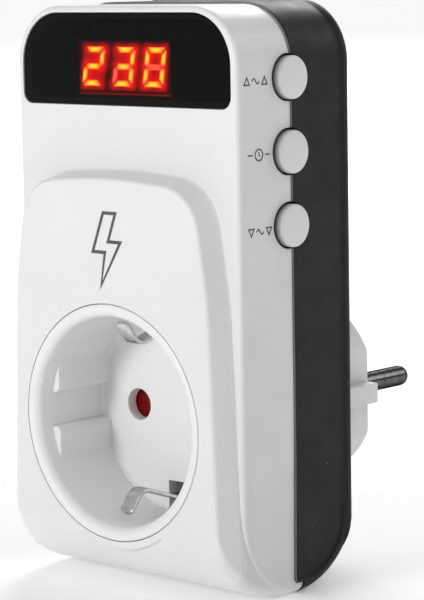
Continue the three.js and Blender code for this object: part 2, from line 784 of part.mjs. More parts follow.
addPiece("socket_insert", buildSocketInsert(), whitePlastic);
addPiece("shutter_guide", buildShutterGuide(), greyPlastic);
addPiece("safety_shutter", buildShutter(), redPlastic);
addPiece("shutter_spring", buildShutterSpring(), spring);
addPiece("earth_clip_top", buildEarthClip(1), nickel);
addPiece("earth_clip_bottom", buildEarthClip(-1), nickel);
addPiece("earth_strap", buildEarthStrap(), brass);
addPiece("contact_line", buildContact(-pinX), brass);
addPiece("contact_neutral", buildContact(pinX), brass);
addPiece("neutral_link", buildNeutralLink(), brass);

addPiece("plug_base", buildPlugBase(), greyPlastic);
addPiece("plug_pin_line", buildPlugPin(-pinX), nickel);
addPiece("plug_pin_neutral", buildPlugPin(pinX), nickel);
addPiece("plug_earth_contact_top", buildPlugEarthContact(1), nickel);
addPiece("plug_earth_contact_bottom", buildPlugEarthContact(-1), nickel);

addPiece("control_board", buildControlBoard(), circuitBoard);
addPiece("microcontroller", block([-5, 5], [controlBoardBackY + seat, -37], [60.5, 67]), blackComponent);
const powerBoard = block([-23, 23], [powerBoardY, powerBoardY + boardThickness], [24.5, 62]);
addPiece("power_board", powerBoard, circuitBoard);
const boardHeader = block([11, 13.5], [controlBoardBackY + seat, powerBoardY - seat], [46, 58.7]);
addPiece("board_header", boardHeader, blackComponent);
addPiece("relay", onPowerBoard([-22, -9.5], [30, 58], 11.7), blueComponent);
addPiece("dropper_capacitor", onPowerBoard([-7.5, -1.5], [42, 58], 11), yellowComponent);
addPiece("filter_capacitor", standing(4, 11.5, 4.5, 52), blackComponent);
addPiece("fuse", standing(4.2, 8, 6, 31.5), blackComponent);
addPiece("bridge_rectifier", onPowerBoard([1, 8], [38, 45], 2.8), blackComponent);
addPiece("varistor", buildVaristor(), blueComponent);

buttonZ.forEach((z, i) => {
  addPiece(`switch_body_${i + 1}`, buildSwitchBody(z), blackComponent);
  addPiece(`switch_stem_${i + 1}`, buildSwitchStem(z), blackComponent);
  addPiece(`button_${i + 1}`, buildButton(z), greyPlastic);
});

addPiece("wire_line_in", buildWire([
  [-9.5, -10, 4.2], [-9.5, -13, 7], [-8, -19, 9.5], [-7, -24.3, 9.8], [-7, -27.1, 11.6],
  [-8.5, -27.9, 16], [-11.5, -27.8, 21], [-13, -27.5, 26.5],
]), brownWire);
addPiece("wire_line_out", buildWire([
  [-9.5, -25.2, 6.5], [-11.5, -26.9, 9.5], [-15, -27.7, 15], [-18, -27.7, 21], [-18.5, -27.5, 26.5],
]), brownWire);
addPiece("wire_neutral", buildWire([
  [9.5, -23, 4.9], [9.8, -26.4, 6.6], [12, -27.6, 10.5], [14.5, -27.7, 16], [15, -27.5, 26.5],
]), blueWire);

export default part;
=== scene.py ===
"""Finished look of a plug-through mains voltage protector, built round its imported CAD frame.

Lengths are in millimetres in the row frame: -Y is the front, +X the button side, +Z up.
The origin is the centre of the plug's end face.
"""

import json
from math import atan2, cos, exp, pi, radians, sin, sqrt, tan

import bmesh
import bpy
from mathutils import Matrix, Vector


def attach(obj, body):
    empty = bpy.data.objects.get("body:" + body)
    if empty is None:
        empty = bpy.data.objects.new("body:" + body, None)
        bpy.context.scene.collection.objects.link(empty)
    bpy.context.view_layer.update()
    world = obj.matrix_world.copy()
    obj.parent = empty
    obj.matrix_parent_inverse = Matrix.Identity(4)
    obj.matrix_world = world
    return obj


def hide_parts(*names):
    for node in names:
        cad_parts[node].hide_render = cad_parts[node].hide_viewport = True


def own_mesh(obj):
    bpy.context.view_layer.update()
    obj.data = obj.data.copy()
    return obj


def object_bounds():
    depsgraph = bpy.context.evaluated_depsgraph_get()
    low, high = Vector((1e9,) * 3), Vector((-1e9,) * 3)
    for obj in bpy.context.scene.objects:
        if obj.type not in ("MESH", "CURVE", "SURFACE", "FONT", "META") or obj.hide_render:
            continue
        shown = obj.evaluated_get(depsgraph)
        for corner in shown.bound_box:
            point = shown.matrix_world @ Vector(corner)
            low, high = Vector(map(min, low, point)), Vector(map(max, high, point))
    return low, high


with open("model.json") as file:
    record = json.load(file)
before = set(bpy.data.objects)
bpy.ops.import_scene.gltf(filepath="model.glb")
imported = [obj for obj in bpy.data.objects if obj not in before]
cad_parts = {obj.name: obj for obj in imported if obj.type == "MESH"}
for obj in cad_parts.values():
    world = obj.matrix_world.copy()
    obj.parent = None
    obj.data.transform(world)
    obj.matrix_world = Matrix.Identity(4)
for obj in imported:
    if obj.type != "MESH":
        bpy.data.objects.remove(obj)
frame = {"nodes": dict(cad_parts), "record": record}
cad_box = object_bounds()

MM = 0.001

# ---- driving dimensions

PIN_X = 9.5
PIN_RADIUS = 2.0
PIN_LENGTH = 19.0

BODY_HALF = 27.5
BODY_TOP = 74.9
BODY_BOTTOM = -31.3
FRONT_Y = -49.3
PARTING_Y = -35.5
PLATFORM_Y = -54.4
REAR_RIM_Y = -19.9
REAR_WALL_Y = -21.4
REAR_INNER_Y = -23.4
TAB_Y = -33.6
TAB_HEIGHT = 2.2
WALL = 2.0
SEAT = 0.05
EDGE_RADIUS = 0.9
TOP_RADIUS = 10.5
BOTTOM_RADIUS = 2.5
REAR_STEP = 0.4
RIM_WIDTH = 1.6

# quarter ellipses of the underside, seen from the side: (along Y, along Z)
FRONT_ROUND = (12.8, 17.0)
PLATFORM_ROUND = (17.7, 13.8)
REAR_ROUND = (14.8, 11.9)

# the platform's right half: its corners (x, z), the radius at each, its edge, draft and fillet
PLATFORM_CORNERS = [(27.4, BODY_BOTTOM), (25.2, 24), (21.9, 44.1), (0, 45.8)]
PLATFORM_RADII = (2.5, 70, 10, 120)
PLATFORM_EDGE = 0.6
PLATFORM_DRAFT = 1.0
PLATFORM_INSET = 0.02
FILLET = 0.45
FILLET_FADE_X = 25.9

# how far the rear cover stands proud of the body, by distance from its rim: (distance, proud)
REAR_PROUD = [(0, 0.28), (0.3, 0.52), (0.8, 0.68), (1.3, 0.7), (1.8, 0.6), (2.3, 0.44), (3, 0.4)]
REAR_PROUD += [(15.1, 0.4), (15.35, 0.34), (15.5, 0.24), (15.55, 0.12)]

RECESS_RADIUS = 19.3
INSERT_RADIUS = 21.7
INSERT_BACK_Y = FRONT_Y + 3
COLLAR_RADIUS = 23.3
COLLAR_BACK_Y = -40.0
COLLAR_EDGE = 0.5
COLLAR_SUNK = 0.01
CUP_RADIUS = 20.9
LIP_RADIUS = 1.7
FLOOR_Y = -37.3
FLOOR_BACK_Y = -35.2
PAD_X = 17.0
PAD_TOP_Z = 12.0
PAD_DEPTH = 13.6
PAD_CORNER = 1.3
NOTCH_HALF = 3.2
PIN_HOLE_RADIUS = 2.9
SLOT_HALF = 2.1
SLOT_INNER = 13.6
SLOT_OUTER = 19.2

SHUTTER_HALF = 13.4
SHUTTER_Y = (-35.0, -33.8)
SHUTTER_Z = (-10.4, 4.2)
SHUTTER_TRAVEL = 6.4
SHUTTER_NOTCH_HALF = 1.9
SHUTTER_NOTCH_Z = -2.0
SPRING_Y = -33.4
SPRING_Z = (-1.9, 10.9)
SPRING_RADIUS = 1.25
SPRING_WIRE = 0.22

WINDOW_HALF = 26.1
WINDOW_BOTTOM = 57.0
WINDOW_TOP = 73.75
WINDOW_THICKNESS = 1.2
WINDOW_LEDGE = 1.2

BUTTON_Z = (62.1, 49.05, 36.0)
BUTTON_Y = -36.0
BUTTON_RADIUS = 3.85
BUTTON_HOLE_RADIUS = 4.2
BUTTON_FACE_X = 29.15

NOSE_RADIUS = 17.9
NOSE_FLAT_X = 15.6
NOSE_RIB_X = 18.6
NOSE_RIB_HALF = 1.95
NOSE_FLANGE_RADIUS = 20.6
NOSE_CLEARANCE = 0.3

CASE_SCREWS = ((-19.9, 68.7), (19.9, 68.7), (-21.3, -23.8), (21.3, -23.8))
WELL_RADIUS = 3.3
WELL_FLOOR_Y = -31.2
BOSS_RADIUS = 4.1
BORE_RADIUS = 1.6

PANEL_DEPTH = 0.45
PANEL_FADE_Z = 2.0
# across the shallow panel's edge: (rise above its floor, margin inside the casing's outline)
PANEL_EDGE = ((0, 3.3), (0.05, 2.95), (0.17, 2.65), (0.35, 2.45), (2.5, 2.4))

# the gap round a part let into a cover, how far a cutter runs past its cut, and half the widest cutter
CLEARANCE = 0.1
PAST = 1.0
WIDE = 30.0

MERGE_DISTANCE = 0.002
THIN_EDGE = 0.001

# ---- mesh helpers


def placed(name, data):
    """A new object in the scene."""
    thing = bpy.data.objects.new(name, data)
    bpy.context.scene.collection.objects.link(thing)
    return thing


def applied(thing):
    """The object's mesh with its modifiers applied. The object itself is removed."""
    bpy.context.view_layer.update()
    graph = bpy.context.evaluated_depsgraph_get()
    mesh = bpy.data.meshes.new_from_object(thing.evaluated_get(graph))
    bpy.data.objects.remove(thing)
    return mesh


def make_mesh(vertices, faces):
    """A mesh in metres from points in millimetres, with its faces turned outwards."""
    mesh = bpy.data.meshes.new("shape")
    mesh.from_pydata([Vector(v) * MM for v in vertices], [], faces)
    work = bmesh.new()
    work.from_mesh(mesh)
    bmesh.ops.recalc_face_normals(work, faces=work.faces)
    work.to_mesh(mesh)
    work.free()
    return mesh


def loft(rings, closed=False):
    """A skin over rings of equal length. It is capped at both ends, or joined end to end if closed."""
    size = len(rings[0])
    count = len(rings)
    faces = []
    for r in range(count if closed else count - 1):
        here, there = r * size, ((r + 1) % count) * size
        for i in range(size):
            j = (i + 1) % size
            faces.append((here + i, here + j, there + j, there + i))
    if not closed:
        faces.append(tuple(reversed(range(size))))
        faces.append(tuple(range((count - 1) * size, count * size)))
    return make_mesh([point for ring in rings for point in ring], faces)


def ring_about(axis, radius, level, a, b, sides):
    """A circle across one axis at that level, centred on (a, b) in the other two axes."""
    points = []
    for i in range(sides):
        angle = 2 * pi * (i + 0.5) / sides
        u, v = a + radius * cos(angle), b + radius * sin(angle)
        points.append({"x": (level, u, v), "y": (u, level, v), "z": (u, v, level)}[axis])
    return points


def lathe(axis, profile, a=0, b=0, sides=96):
    """A turned shape from a list of (radius, level)."""
    return loft([ring_about(axis, radius, level, a, b, sides) for radius, level in profile])


def rod(axis, radius, start, end, a=0, b=0, sides=64):
    return lathe(axis, [(radius, start), (radius, end)], a, b, sides)


def block(x, y, z):
    """A box between pairs of numbers, given in either order."""
    (x0, x1), (y0, y1), (z0, z1) = sorted(x), sorted(y), sorted(z)
    return loft([[(x0, y0, level), (x1, y0, level), (x1, y1, level), (x0, y1, level)] for level in (z0, z1)])


def combine(mesh, tools, operation):
    """One exact boolean after another: DIFFERENCE, UNION or INTERSECT."""
    base = placed("base", mesh)
    helpers = [placed("tool", tool) for tool in tools]
    for helper in helpers:
        boolean = base.modifiers.new("boolean", "BOOLEAN")
        boolean.operation = operation
        boolean.solver = "EXACT"
        boolean.object = helper
    result = applied(base)
    for helper in helpers:
        bpy.data.objects.remove(helper)
    work = bmesh.new()
    work.from_mesh(result)
    bmesh.ops.remove_doubles(work, verts=work.verts, dist=MERGE_DISTANCE * MM)
    bmesh.ops.dissolve_degenerate(work, edges=work.edges, dist=THIN_EDGE * MM)
    work.to_mesh(result)
    work.free()
    return result


def bevelled(mesh, width, segments=3, angle=30):
    """The mesh with its sharp edges rounded."""
    base = placed("base", mesh)
    bevel = base.modifiers.new("bevel", "BEVEL")
    bevel.width = width * MM
    bevel.segments = segments
    bevel.limit_method = "ANGLE"
    bevel.angle_limit = radians(angle)
    return applied(base)


def joined(meshes):
    """Several closed shapes as one mesh."""
    work = bmesh.new()
    for mesh in meshes:
        work.from_mesh(mesh)
    result = bpy.data.meshes.new("joined")
    work.to_mesh(result)
    work.free()
    return result


def add_piece(name, mesh, material, node=None, body="housing", sharp=32):
    """A named piece that rides on a CAD body and may stand for a node; smooth but for its sharp edges."""
    piece = placed(name, mesh)
    mesh.name = name
    mesh.materials.clear()
    mesh.materials.append(material)
    mesh.shade_smooth()
    mesh.set_sharp_from_angle(angle=radians(sharp))
    weighted = piece.modifiers.new("weighted_normals", "WEIGHTED_NORMAL")
    weighted.keep_sharp = True
    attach(piece, body)
    if node:
        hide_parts(node)
    return piece


def rounded_outline(corners, inset=0.0, steps=14):
    """A convex outline from anticlockwise corners (x, z, radius), moved inwards and rounded."""
    sides = []
    for i, (x, z, _) in enumerate(corners):
        next_x, next_z, _ = corners[(i + 1) % len(corners)]
        along = Vector((next_x - x, next_z - z)).normalized()
        inward = Vector((-along.y, along.x))
        sides.append((along, inward, Vector((x, z)) + inset * inward))
    smallest = 0.05
    points = []
    for i, (_, _, corner_radius) in enumerate(corners):
        along_before, inward, start_before = sides[i - 1]
        along_after, _, start_after = sides[i]
        reach = (start_after - start_before).cross(along_after) / along_before.cross(along_after)
        tip = start_before + reach * along_before
        turn = atan2(along_before.cross(along_after), along_before.dot(along_after))
        radius = max(corner_radius - inset, smallest)
        centre = tip - along_before * radius * tan(turn / 2) + inward * radius
        first = atan2(-inward.y, -inward.x)
        for step in range(steps + 1):
            angle = first + turn * step / steps
            points.append((centre.x + radius * cos(angle), centre.y + radius * sin(angle)))
    return points


def at_depth(y, outline):
    """An outline of (x, z) as points at a depth."""
    return [(x, y, z) for x, z in outline]


def mirrored(right_half):
    """An outline's right half and its mirror image."""
    left = [(-x, z, radius) for x, z, radius in reversed(right_half) if x > 0]
    return [*right_half, *left]


def quarter_turn(steps):
    """Angles that share out a right angle evenly."""
    return [pi / 2 * i / steps for i in range(steps + 1)]


def arc(centre, size, angles):
    """Points of an ellipse round a centre; a negative size runs the other way."""
    return [(centre[0] + size[0] * cos(a), centre[1] + size[1] * sin(a)) for a in angles]


# ---- casing sections


def lift(distance, size, height):
    """How far a quarter ellipse raises the underside at that distance from the face it starts on."""
    if distance >= size:
        return 0.0
    share = (size - max(distance, 0.0)) / size
    return height * (1 - sqrt(max(1 - share * share, 0.0)))


def underside(y, face_y=FRONT_Y, face_round=FRONT_ROUND, inset=0.0):
    """Height of the casing's underside at a depth."""
    front = lift(y - face_y - inset, face_round[0] - inset, face_round[1] - inset)
    rear = lift(REAR_RIM_Y - inset - y, REAR_ROUND[0] - inset, REAR_ROUND[1] - inset)
    return BODY_BOTTOM + inset + max(front, rear)


def body_ring(y, side, inset=0.0):
    """The casing's section: side moves its flanks and top inwards, inset its underside."""
    smallest = 0.6
    radius = max(BOTTOM_RADIUS - inset, smallest)
    half, top = BODY_HALF - side, BODY_TOP - side
    corners = mirrored([(half, underside(y, inset=inset), radius), (half, top, TOP_RADIUS - side)])
    return at_depth(y, rounded_outline(corners))


def platform_outline(y, offset, wall):
    """The socket platform's outline at a depth, moved inwards by an offset."""
    low = underside(y, PLATFORM_Y, PLATFORM_ROUND, wall)
    (x0, z0), (x1, z1) = PLATFORM_CORNERS[:2]
    foot = x0 + (x1 - x0) * (low - z0) / (z1 - z0)
    points = [(foot, low - offset), *PLATFORM_CORNERS[1:]]
    radii = (PLATFORM_RADII[0] + offset, *PLATFORM_RADII[1:])
    corners = [(x, z, radius) for (x, z), radius in zip(points, radii)]
    return rounded_outline(mirrored(corners), offset, 10)


def platform_ring(y, inset, flare=0.0, wall=0.0):
    """The platform's section; flare spreads it out at the front face, fading by the flanks."""
    ring = []
    wide = platform_outline(y, inset - flare, wall)
    for (x, z), (wide_x, wide_z) in zip(platform_outline(y, inset, wall), wide):
        share = min(max(FILLET_FADE_X - abs(x), 0.0), 1.0)
        ring.append((x + share * (wide_x - x), y, z + share * (wide_z - z)))
    return ring


WINDOW_CORNERS = mirrored([(WINDOW_HALF, WINDOW_BOTTOM, 2.2), (WINDOW_HALF, WINDOW_TOP, 9.2)])


def window_ring(y, inset):
    return at_depth(y, rounded_outline(WINDOW_CORNERS, inset))


def quarter_depths(face_y, length, steps=24):
    """Depths that share out a quarter ellipse evenly, from the face backwards."""
    return [face_y + length * (1 - cos(angle)) for angle in quarter_turn(steps)]


def edge_inset(depth, radius):
    """How far a rounded edge of that radius holds a side back at a depth behind the face."""
    if depth >= radius:
        return 0.0
    return radius - sqrt(radius**2 - (radius - depth) ** 2)


def side_outline(margin, top_z=12.0, steps=20):
    """The U of the flank seen from the side, as (y, z), inside the casing's edge by a margin."""
    points = [(FRONT_Y + margin, top_z)]
    for start, way, (along, up) in ((FRONT_Y, 1, FRONT_ROUND), (REAR_RIM_Y, -1, REAR_ROUND)):
        centre = (start + way * along, BODY_BOTTOM + up)
        points += arc(centre, (-way * (along - margin), margin - up), quarter_turn(steps)[::way])
    return [*points, (REAR_RIM_Y - margin, top_z)]


def panel_cutters(proud):
    """Cutters for the shallow U-shaped panel in each flank, deepest at the bottom."""
    cutters = []
    for side in (-1, 1):
        rings = []
        for rise, margin in PANEL_EDGE:
            ring = []
            for y, z in side_outline(margin):
                depth = PANEL_DEPTH * (PANEL_FADE_Z - z) / (PANEL_FADE_Z - BODY_BOTTOM)
                ring.append((side * (BODY_HALF + proud - depth + rise), y, z))
            rings.append(ring)
        cutters.append(loft(rings))
    return cutters


def button_holes():
    inner, outer = BODY_HALF - 4, BODY_HALF + 3
    return [rod("x", BUTTON_HOLE_RADIUS, inner, outer, BUTTON_Y, z) for z in BUTTON_Z]


# ---- materials


def shaded(colour, share):
    """A colour at a share of its brightness."""
    return tuple(share * c for c in colour)


class Nodes:
    """The shader nodes of a material or of the world."""

    def __init__(self, owner):
        owner.use_nodes = True
        self.nodes = owner.node_tree.nodes
        self.links = owner.node_tree.links

    def feed(self, node, inputs):
        """Sets a node's inputs. Each takes a value, or a link from another node's output."""
        for place, value in inputs.items():
            if isinstance(value, bpy.types.NodeSocket):
                self.links.new(value, node.inputs[place])
            else:
                node.inputs[place].default_value = value
        return node

    def node(self, kind, inputs, **settings):
        """A new node with its inputs fed and its settings made."""
        made = self.nodes.new("ShaderNode" + kind)
        for name, value in settings.items():
            setattr(made, name, value)
        return self.feed(made, inputs)

    def ranged(self, value, low, high, to_low=0.0, to_high=1.0):
        """A value mapped from one range to another and held inside it."""
        return self.node("MapRange", {0: value, 1: low, 2: high, 3: to_low, 4: to_high}).outputs[0]


class Material(Nodes):
    """A Principled material whose colour, roughness and relief come from noise in object space."""

    def __init__(self, name, colour, roughness, metallic=0.0):
        self.material = bpy.data.materials.new(name)
        super().__init__(self.material)
        coordinates = self.node("TexCoord", {})
        self.place = coordinates.outputs["Object"]
        self.facing = coordinates.outputs["Normal"]
        self.surface = {"Base Color": (*colour, 1), "Roughness": roughness, "Metallic": metallic}

    def noise(self, size, detail=2.0, stretch=(1, 1, 1)):
        """Noise whose blotches are about size millimetres across."""
        mapping = self.node("Mapping", {"Vector": self.place, "Scale": stretch})
        inputs = {"Vector": mapping.outputs[0], "Scale": 1 / (size * MM), "Detail": detail}
        return self.node("TexNoise", inputs).outputs[0]

    def tint(self, factor, colour):
        """Mixes another colour in by a factor. A Mix node's colours are its sockets 6, 7 and 2."""
        inputs = {0: factor, 6: self.surface["Base Color"], 7: (*colour, 1)}
        self.surface["Base Color"] = self.node("Mix", inputs, data_type="RGBA").outputs[2]
        return self

    def mottle(self, size, colour, amount):
        """Cloudy variation towards another colour."""
        return self.tint(self.ranged(self.noise(size), 0.35, 0.7, 0, amount), colour)

    def specks(self, size, colour, threshold):
        """Sparse small marks."""
        return self.tint(self.ranged(self.noise(size, 1), threshold, threshold + 0.03), colour)

    def beyond(self, source, axis, near, far, colour):
        """Another colour where the size of one coordinate of the source is past near, full at far."""
        split = self.node("SeparateXYZ", {0: source})
        size = self.node("Math", {0: split.outputs[axis]}, operation="ABSOLUTE")
        return self.tint(self.ranged(size.outputs[0], near, far), colour)

    def rough(self, size, low, high, stretch=(1, 1, 1)):
        """Cloudy roughness between two values."""
        self.surface["Roughness"] = self.ranged(self.noise(size, 3, stretch), 0.3, 0.7, low, high)
        return self

    def bump(self, size, depth, stretch=(1, 1, 1), detail=2.0):
        """Relief of a depth in millimetres, on top of any relief so far."""
        inputs = {"Strength": 1.0, "Distance": depth * MM, "Height": self.noise(size, detail, stretch)}
        if "Normal" in self.surface:
            inputs["Normal"] = self.surface["Normal"]
        self.surface["Normal"] = self.node("Bump", inputs).outputs[0]
        return self

    def worn_edges(self, radius):
        """A tiny radius on every sharp edge, as moulded and pressed parts have."""
        self.surface["Normal"] = self.node("Bevel", {"Radius": radius * MM}, samples=4).outputs[0]
        return self

    def done(self, **inputs):
        """The finished material, with any other inputs of its shader."""
        more = {name.replace("_", " "): value for name, value in inputs.items()}
        self.feed(self.nodes["Principled BSDF"], {**self.surface, **more})
        return self.material


def white_plastic(name, brightness, painted_side_shade=False):
    """White satin moulding: faint clouds and specks of dust. On the casing, faces turned to the sides get a
    painted shade that fades out towards the front edge.
    """
    white = (brightness, brightness, brightness)
    look = Material(name, white, 0.42)
    if painted_side_shade:
        side_shade_fades, side_shade_ends = (-FRONT_Y - 1.4) * MM, (-FRONT_Y + 0.2) * MM
        # painted shade: faces turned towards +X or -X are darkened to stand for the dimmer light on the
        # flanks
        look.beyond(look.facing, "X", 0.86, 0.985, (0.65, 0.65, 0.65))
        # the painted side shade fades out towards the front, so the platform's sides stay unshaded and the
        # flank's front edge gets a lighter band, a painted highlight
        look.beyond(look.place, "Y", side_shade_fades, side_shade_ends, white)
    look.mottle(14, shaded(white, 0.945), 0.5)
    look.specks(0.55, (0.5, 0.49, 0.47), 0.775)
    look.rough(6, 0.34, 0.48)
    look.worn_edges(0.12)
    look.bump(0.18, 0.004).bump(9, 0.02)
    return look.done(Specular_IOR_Level=0.45)


def dark_plastic():
    """Charcoal casing plastic, spark-eroded and lightly scuffed, with a painted highlight along its edge at
    the seam.
    """
    look = Material("dark_plastic", (0.009, 0.009, 0.0095), 0.5)
    look.mottle(11, (0.013, 0.013, 0.013), 0.7)
    look.specks(0.45, (0.16, 0.16, 0.16), 0.78)
    # painted highlight: the last fraction of a millimetre at the seam, where the cover's step faces the
    # front, is made pale grey
    look.beyond(look.place, "Y", (-PARTING_Y - 0.25) * MM, (-PARTING_Y - 0.15) * MM, (0.2, 0.2, 0.2))
    look.rough(5, 0.42, 0.58)
    look.worn_edges(0.15)
    look.bump(0.22, 0.012, detail=3).bump(10, 0.02)
    return look.done(Specular_IOR_Level=0.22)


def grey_plastic(name, colour, roughness=0.45, foot=None):
    """Light grey moulding. Foot is the two distances along X between which a painted shade at its foot
    clears to the plain colour.
    """
    # with a foot given, the colour starts as a painted shade at 0.12 of its brightness and clears to the
    # plain colour along X
    look = Material(name, shaded(colour, 0.12) if foot else colour, roughness)
    if foot:
        look.beyond(look.place, "X", foot[0] * MM, foot[1] * MM, colour)
    else:
        look.mottle(7, shaded(colour, 0.92), 0.6)
    look.specks(0.5, shaded(colour, 0.55), 0.79)
    look.rough(4, roughness - 0.07, roughness + 0.07)
    look.worn_edges(0.1)
    look.bump(0.2, 0.005).bump(6, 0.015)
    return look.done()


def smoked_plastic():
    """Polished smoked acrylic: light crosses it once from the digits, twice from outside."""
    look = Material("smoked_plastic", (0.085, 0.078, 0.078), 0.03)
    look.rough(2.5, 0.02, 0.09)
    look.bump(0.5, 0.0012, (0.12, 1, 1)).bump(12, 0.01)
    return look.done(Transmission_Weight=1.0, IOR=1.17)


def red_plastic():
    look = Material("red_plastic", (0.16, 0.0015, 0.002), 0.3)
    look.mottle(3, (0.09, 0.001, 0.0015), 0.6)
    look.rough(2, 0.2, 0.36)
    look.bump(0.25, 0.004)
    return look.done(Specular_IOR_Level=0.12)


def metal(name, colour, low, high, stretch=(1, 1, 1), edge_tint=1.0, stain=0.75):
    """Rolled or drawn metal with handling marks; edge_tint dims it at grazing angles."""
    look = Material(name, colour, low, 1.0)
    look.mottle(1.6, shaded(colour, 0.62), stain)
    look.specks(0.3, shaded(colour, 0.3), 0.755)
    look.rough(0.9, low, high, stretch)
    look.worn_edges(0.08)
    look.bump(0.35, 0.004, stretch)
    return look.done(Specular_Tint=(edge_tint, edge_tint, edge_tint, 1))


def component(name, colour, roughness, gloss):
    """Moulded or dipped electronic parts, and wires."""
    look = Material(name, colour, roughness)
    look.mottle(2.5, tuple(1.5 * c + 0.01 for c in colour), 0.5)
    look.rough(1.5, roughness - 0.1, roughness + 0.1)
    look.bump(0.3, 0.01)
    return look.done(Coat_Weight=gloss)


def circuit_board():
    """Green solder mask with the copper tracks showing faintly through."""
    look = Material("circuit_board", (0.012, 0.085, 0.03), 0.35)
    look.tint(look.ranged(look.noise(1.8, 0, (1, 1, 6)), 0.5, 0.53), (0.02, 0.15, 0.055))
    look.specks(0.8, (0.6, 0.55, 0.45), 0.76)
    look.rough(1.5, 0.25, 0.45)
    look.bump(0.5, 0.01)
    return look.done(Coat_Weight=0.4)


def glowing(name, stops, strength):
    """Light whose colour follows the mesh's glow attribute."""
    look = Material(name, (0.02, 0.0, 0.0), 0.4)
    attribute = look.node("Attribute", {}, attribute_name="glow")
    ramp = look.node("ValToRGB", {"Fac": attribute.outputs["Fac"]})
    ramp.color_ramp.interpolation = "EASE"
    elements = ramp.color_ramp.elements
    (_, first), *between, (_, last) = stops
    elements[0].color = (*first, 1)
    elements[1].color = (*last, 1)
    for position, colour in between:
        elements.new(position).color = (*colour, 1)
    look.rough(0.8, 0.3, 0.5).bump(0.4, 0.004)
    return look.done(Emission_Color=ramp.outputs["Color"], Emission_Strength=strength)


def ink():
    """Pad-printed dark grey ink, a little uneven."""
    look = Material("ink", (0.045, 0.045, 0.047), 0.6)
    look.mottle(0.5, (0.16, 0.16, 0.16), 0.6)
    look.rough(0.5, 0.5, 0.7)
    look.bump(0.15, 0.003)
    return look.done()


ROLLED = (1, 0.15, 1)
SOCKET_WHITE = white_plastic("socket_plastic", 0.81)
# True: the casing's flanks get the painted side shade
CASING_WHITE = white_plastic("casing_plastic", 0.765, True)
DARK = dark_plastic()
GREY = grey_plastic("grey_plastic", (0.72, 0.72, 0.72))
# the caps' sides get a painted shade, darkest where they leave the casing and gone 1.5 mm out
BUTTON = grey_plastic("button_plastic", (0.68, 0.68, 0.68), 0.36, (BODY_HALF, BODY_HALF + 1.5))
SMOKED = smoked_plastic()
RED = red_plastic()
NICKEL = metal("nickel", (0.84, 0.83, 0.81), 0.16, 0.3, ROLLED, edge_tint=0.3, stain=0.5)
# a copy of the nickel with its colour darkened: painted shade standing for the dark surroundings that the
# pins reflect
PAINTED_DARK_PIN_NICKEL = metal("pin_nickel_painted_dark", (0.15, 0.148, 0.145), 0.16, 0.3, ROLLED, edge_tint=0.1)
BRASS = metal("brass", (0.55, 0.38, 0.13), 0.3, 0.48)
SPRING = metal("spring_steel", (0.45, 0.45, 0.46), 0.25, 0.4)
SCREW = metal("screw_steel", (0.42, 0.42, 0.43), 0.3, 0.5)
INK = ink()

# ---- casing pieces


def platform_shape():
    """The socket platform: drafted sides, a broken front edge and a fillet where it meets the face."""
    rings = []
    for y in quarter_depths(PLATFORM_Y, PLATFORM_ROUND[0], 32):
        if y < FRONT_Y - FILLET:
            inset = PLATFORM_DRAFT * (FRONT_Y - y) / (FRONT_Y - PLATFORM_Y)
            rings.append(platform_ring(y, inset + edge_inset(y - PLATFORM_Y, PLATFORM_EDGE)))
    for angle in quarter_turn(6):
        y = FRONT_Y - FILLET * (1 - sin(angle))
        rings.append(platform_ring(y, PLATFORM_INSET, FILLET * (1 - cos(angle))))
    for depth in (0.05, 1.7, 3, 5, 8):
        rings.append(platform_ring(FRONT_Y + depth, PLATFORM_INSET))
    return loft(rings)


def collar_shape():
    """The round collar that holds the socket cup, its front edge rounded."""
    profile = []
    for depth in (0, 0.04, 0.15, 0.3, COLLAR_EDGE):
        radius = COLLAR_RADIUS - edge_inset(depth, COLLAR_EDGE)
        profile.append((radius, PLATFORM_Y + COLLAR_SUNK + depth))
    profile.append((COLLAR_RADIUS, COLLAR_BACK_Y))
    return lathe("y", profile, sides=160)


def tab_shape():
    """The low tab of the front cover that runs past the seam."""
    strip = loft([body_ring(PARTING_Y - PAST, 0), body_ring(TAB_Y, 0)])
    foot = (BODY_BOTTOM - PAST, BODY_BOTTOM + TAB_HEIGHT)
    return combine(strip, [block((-WIDE, WIDE), (PARTING_Y - 2 * PAST, TAB_Y + PAST), foot)], "INTERSECT")


def front_space():
    """The space inside the front cover, round the collar."""
    start = FRONT_Y + WALL
    depths = [start, *quarter_depths(start, FRONT_ROUND[0] - WALL, 12)[1:], TAB_Y + PAST]
    hollow = loft([body_ring(y, WALL, WALL) for y in depths])
    rings = []
    for depth in (0, 1, 2.5, 4.5, 7, 12):
        rings.append(platform_ring(PLATFORM_Y + WALL + depth, WALL + 0.7, wall=WALL))
    space = combine(hollow, [loft(rings)], "UNION")
    collar = rod("y", COLLAR_RADIUS - 0.02, PLATFORM_Y, COLLAR_BACK_Y + PAST, sides=96)
    return combine(space, [collar], "DIFFERENCE")


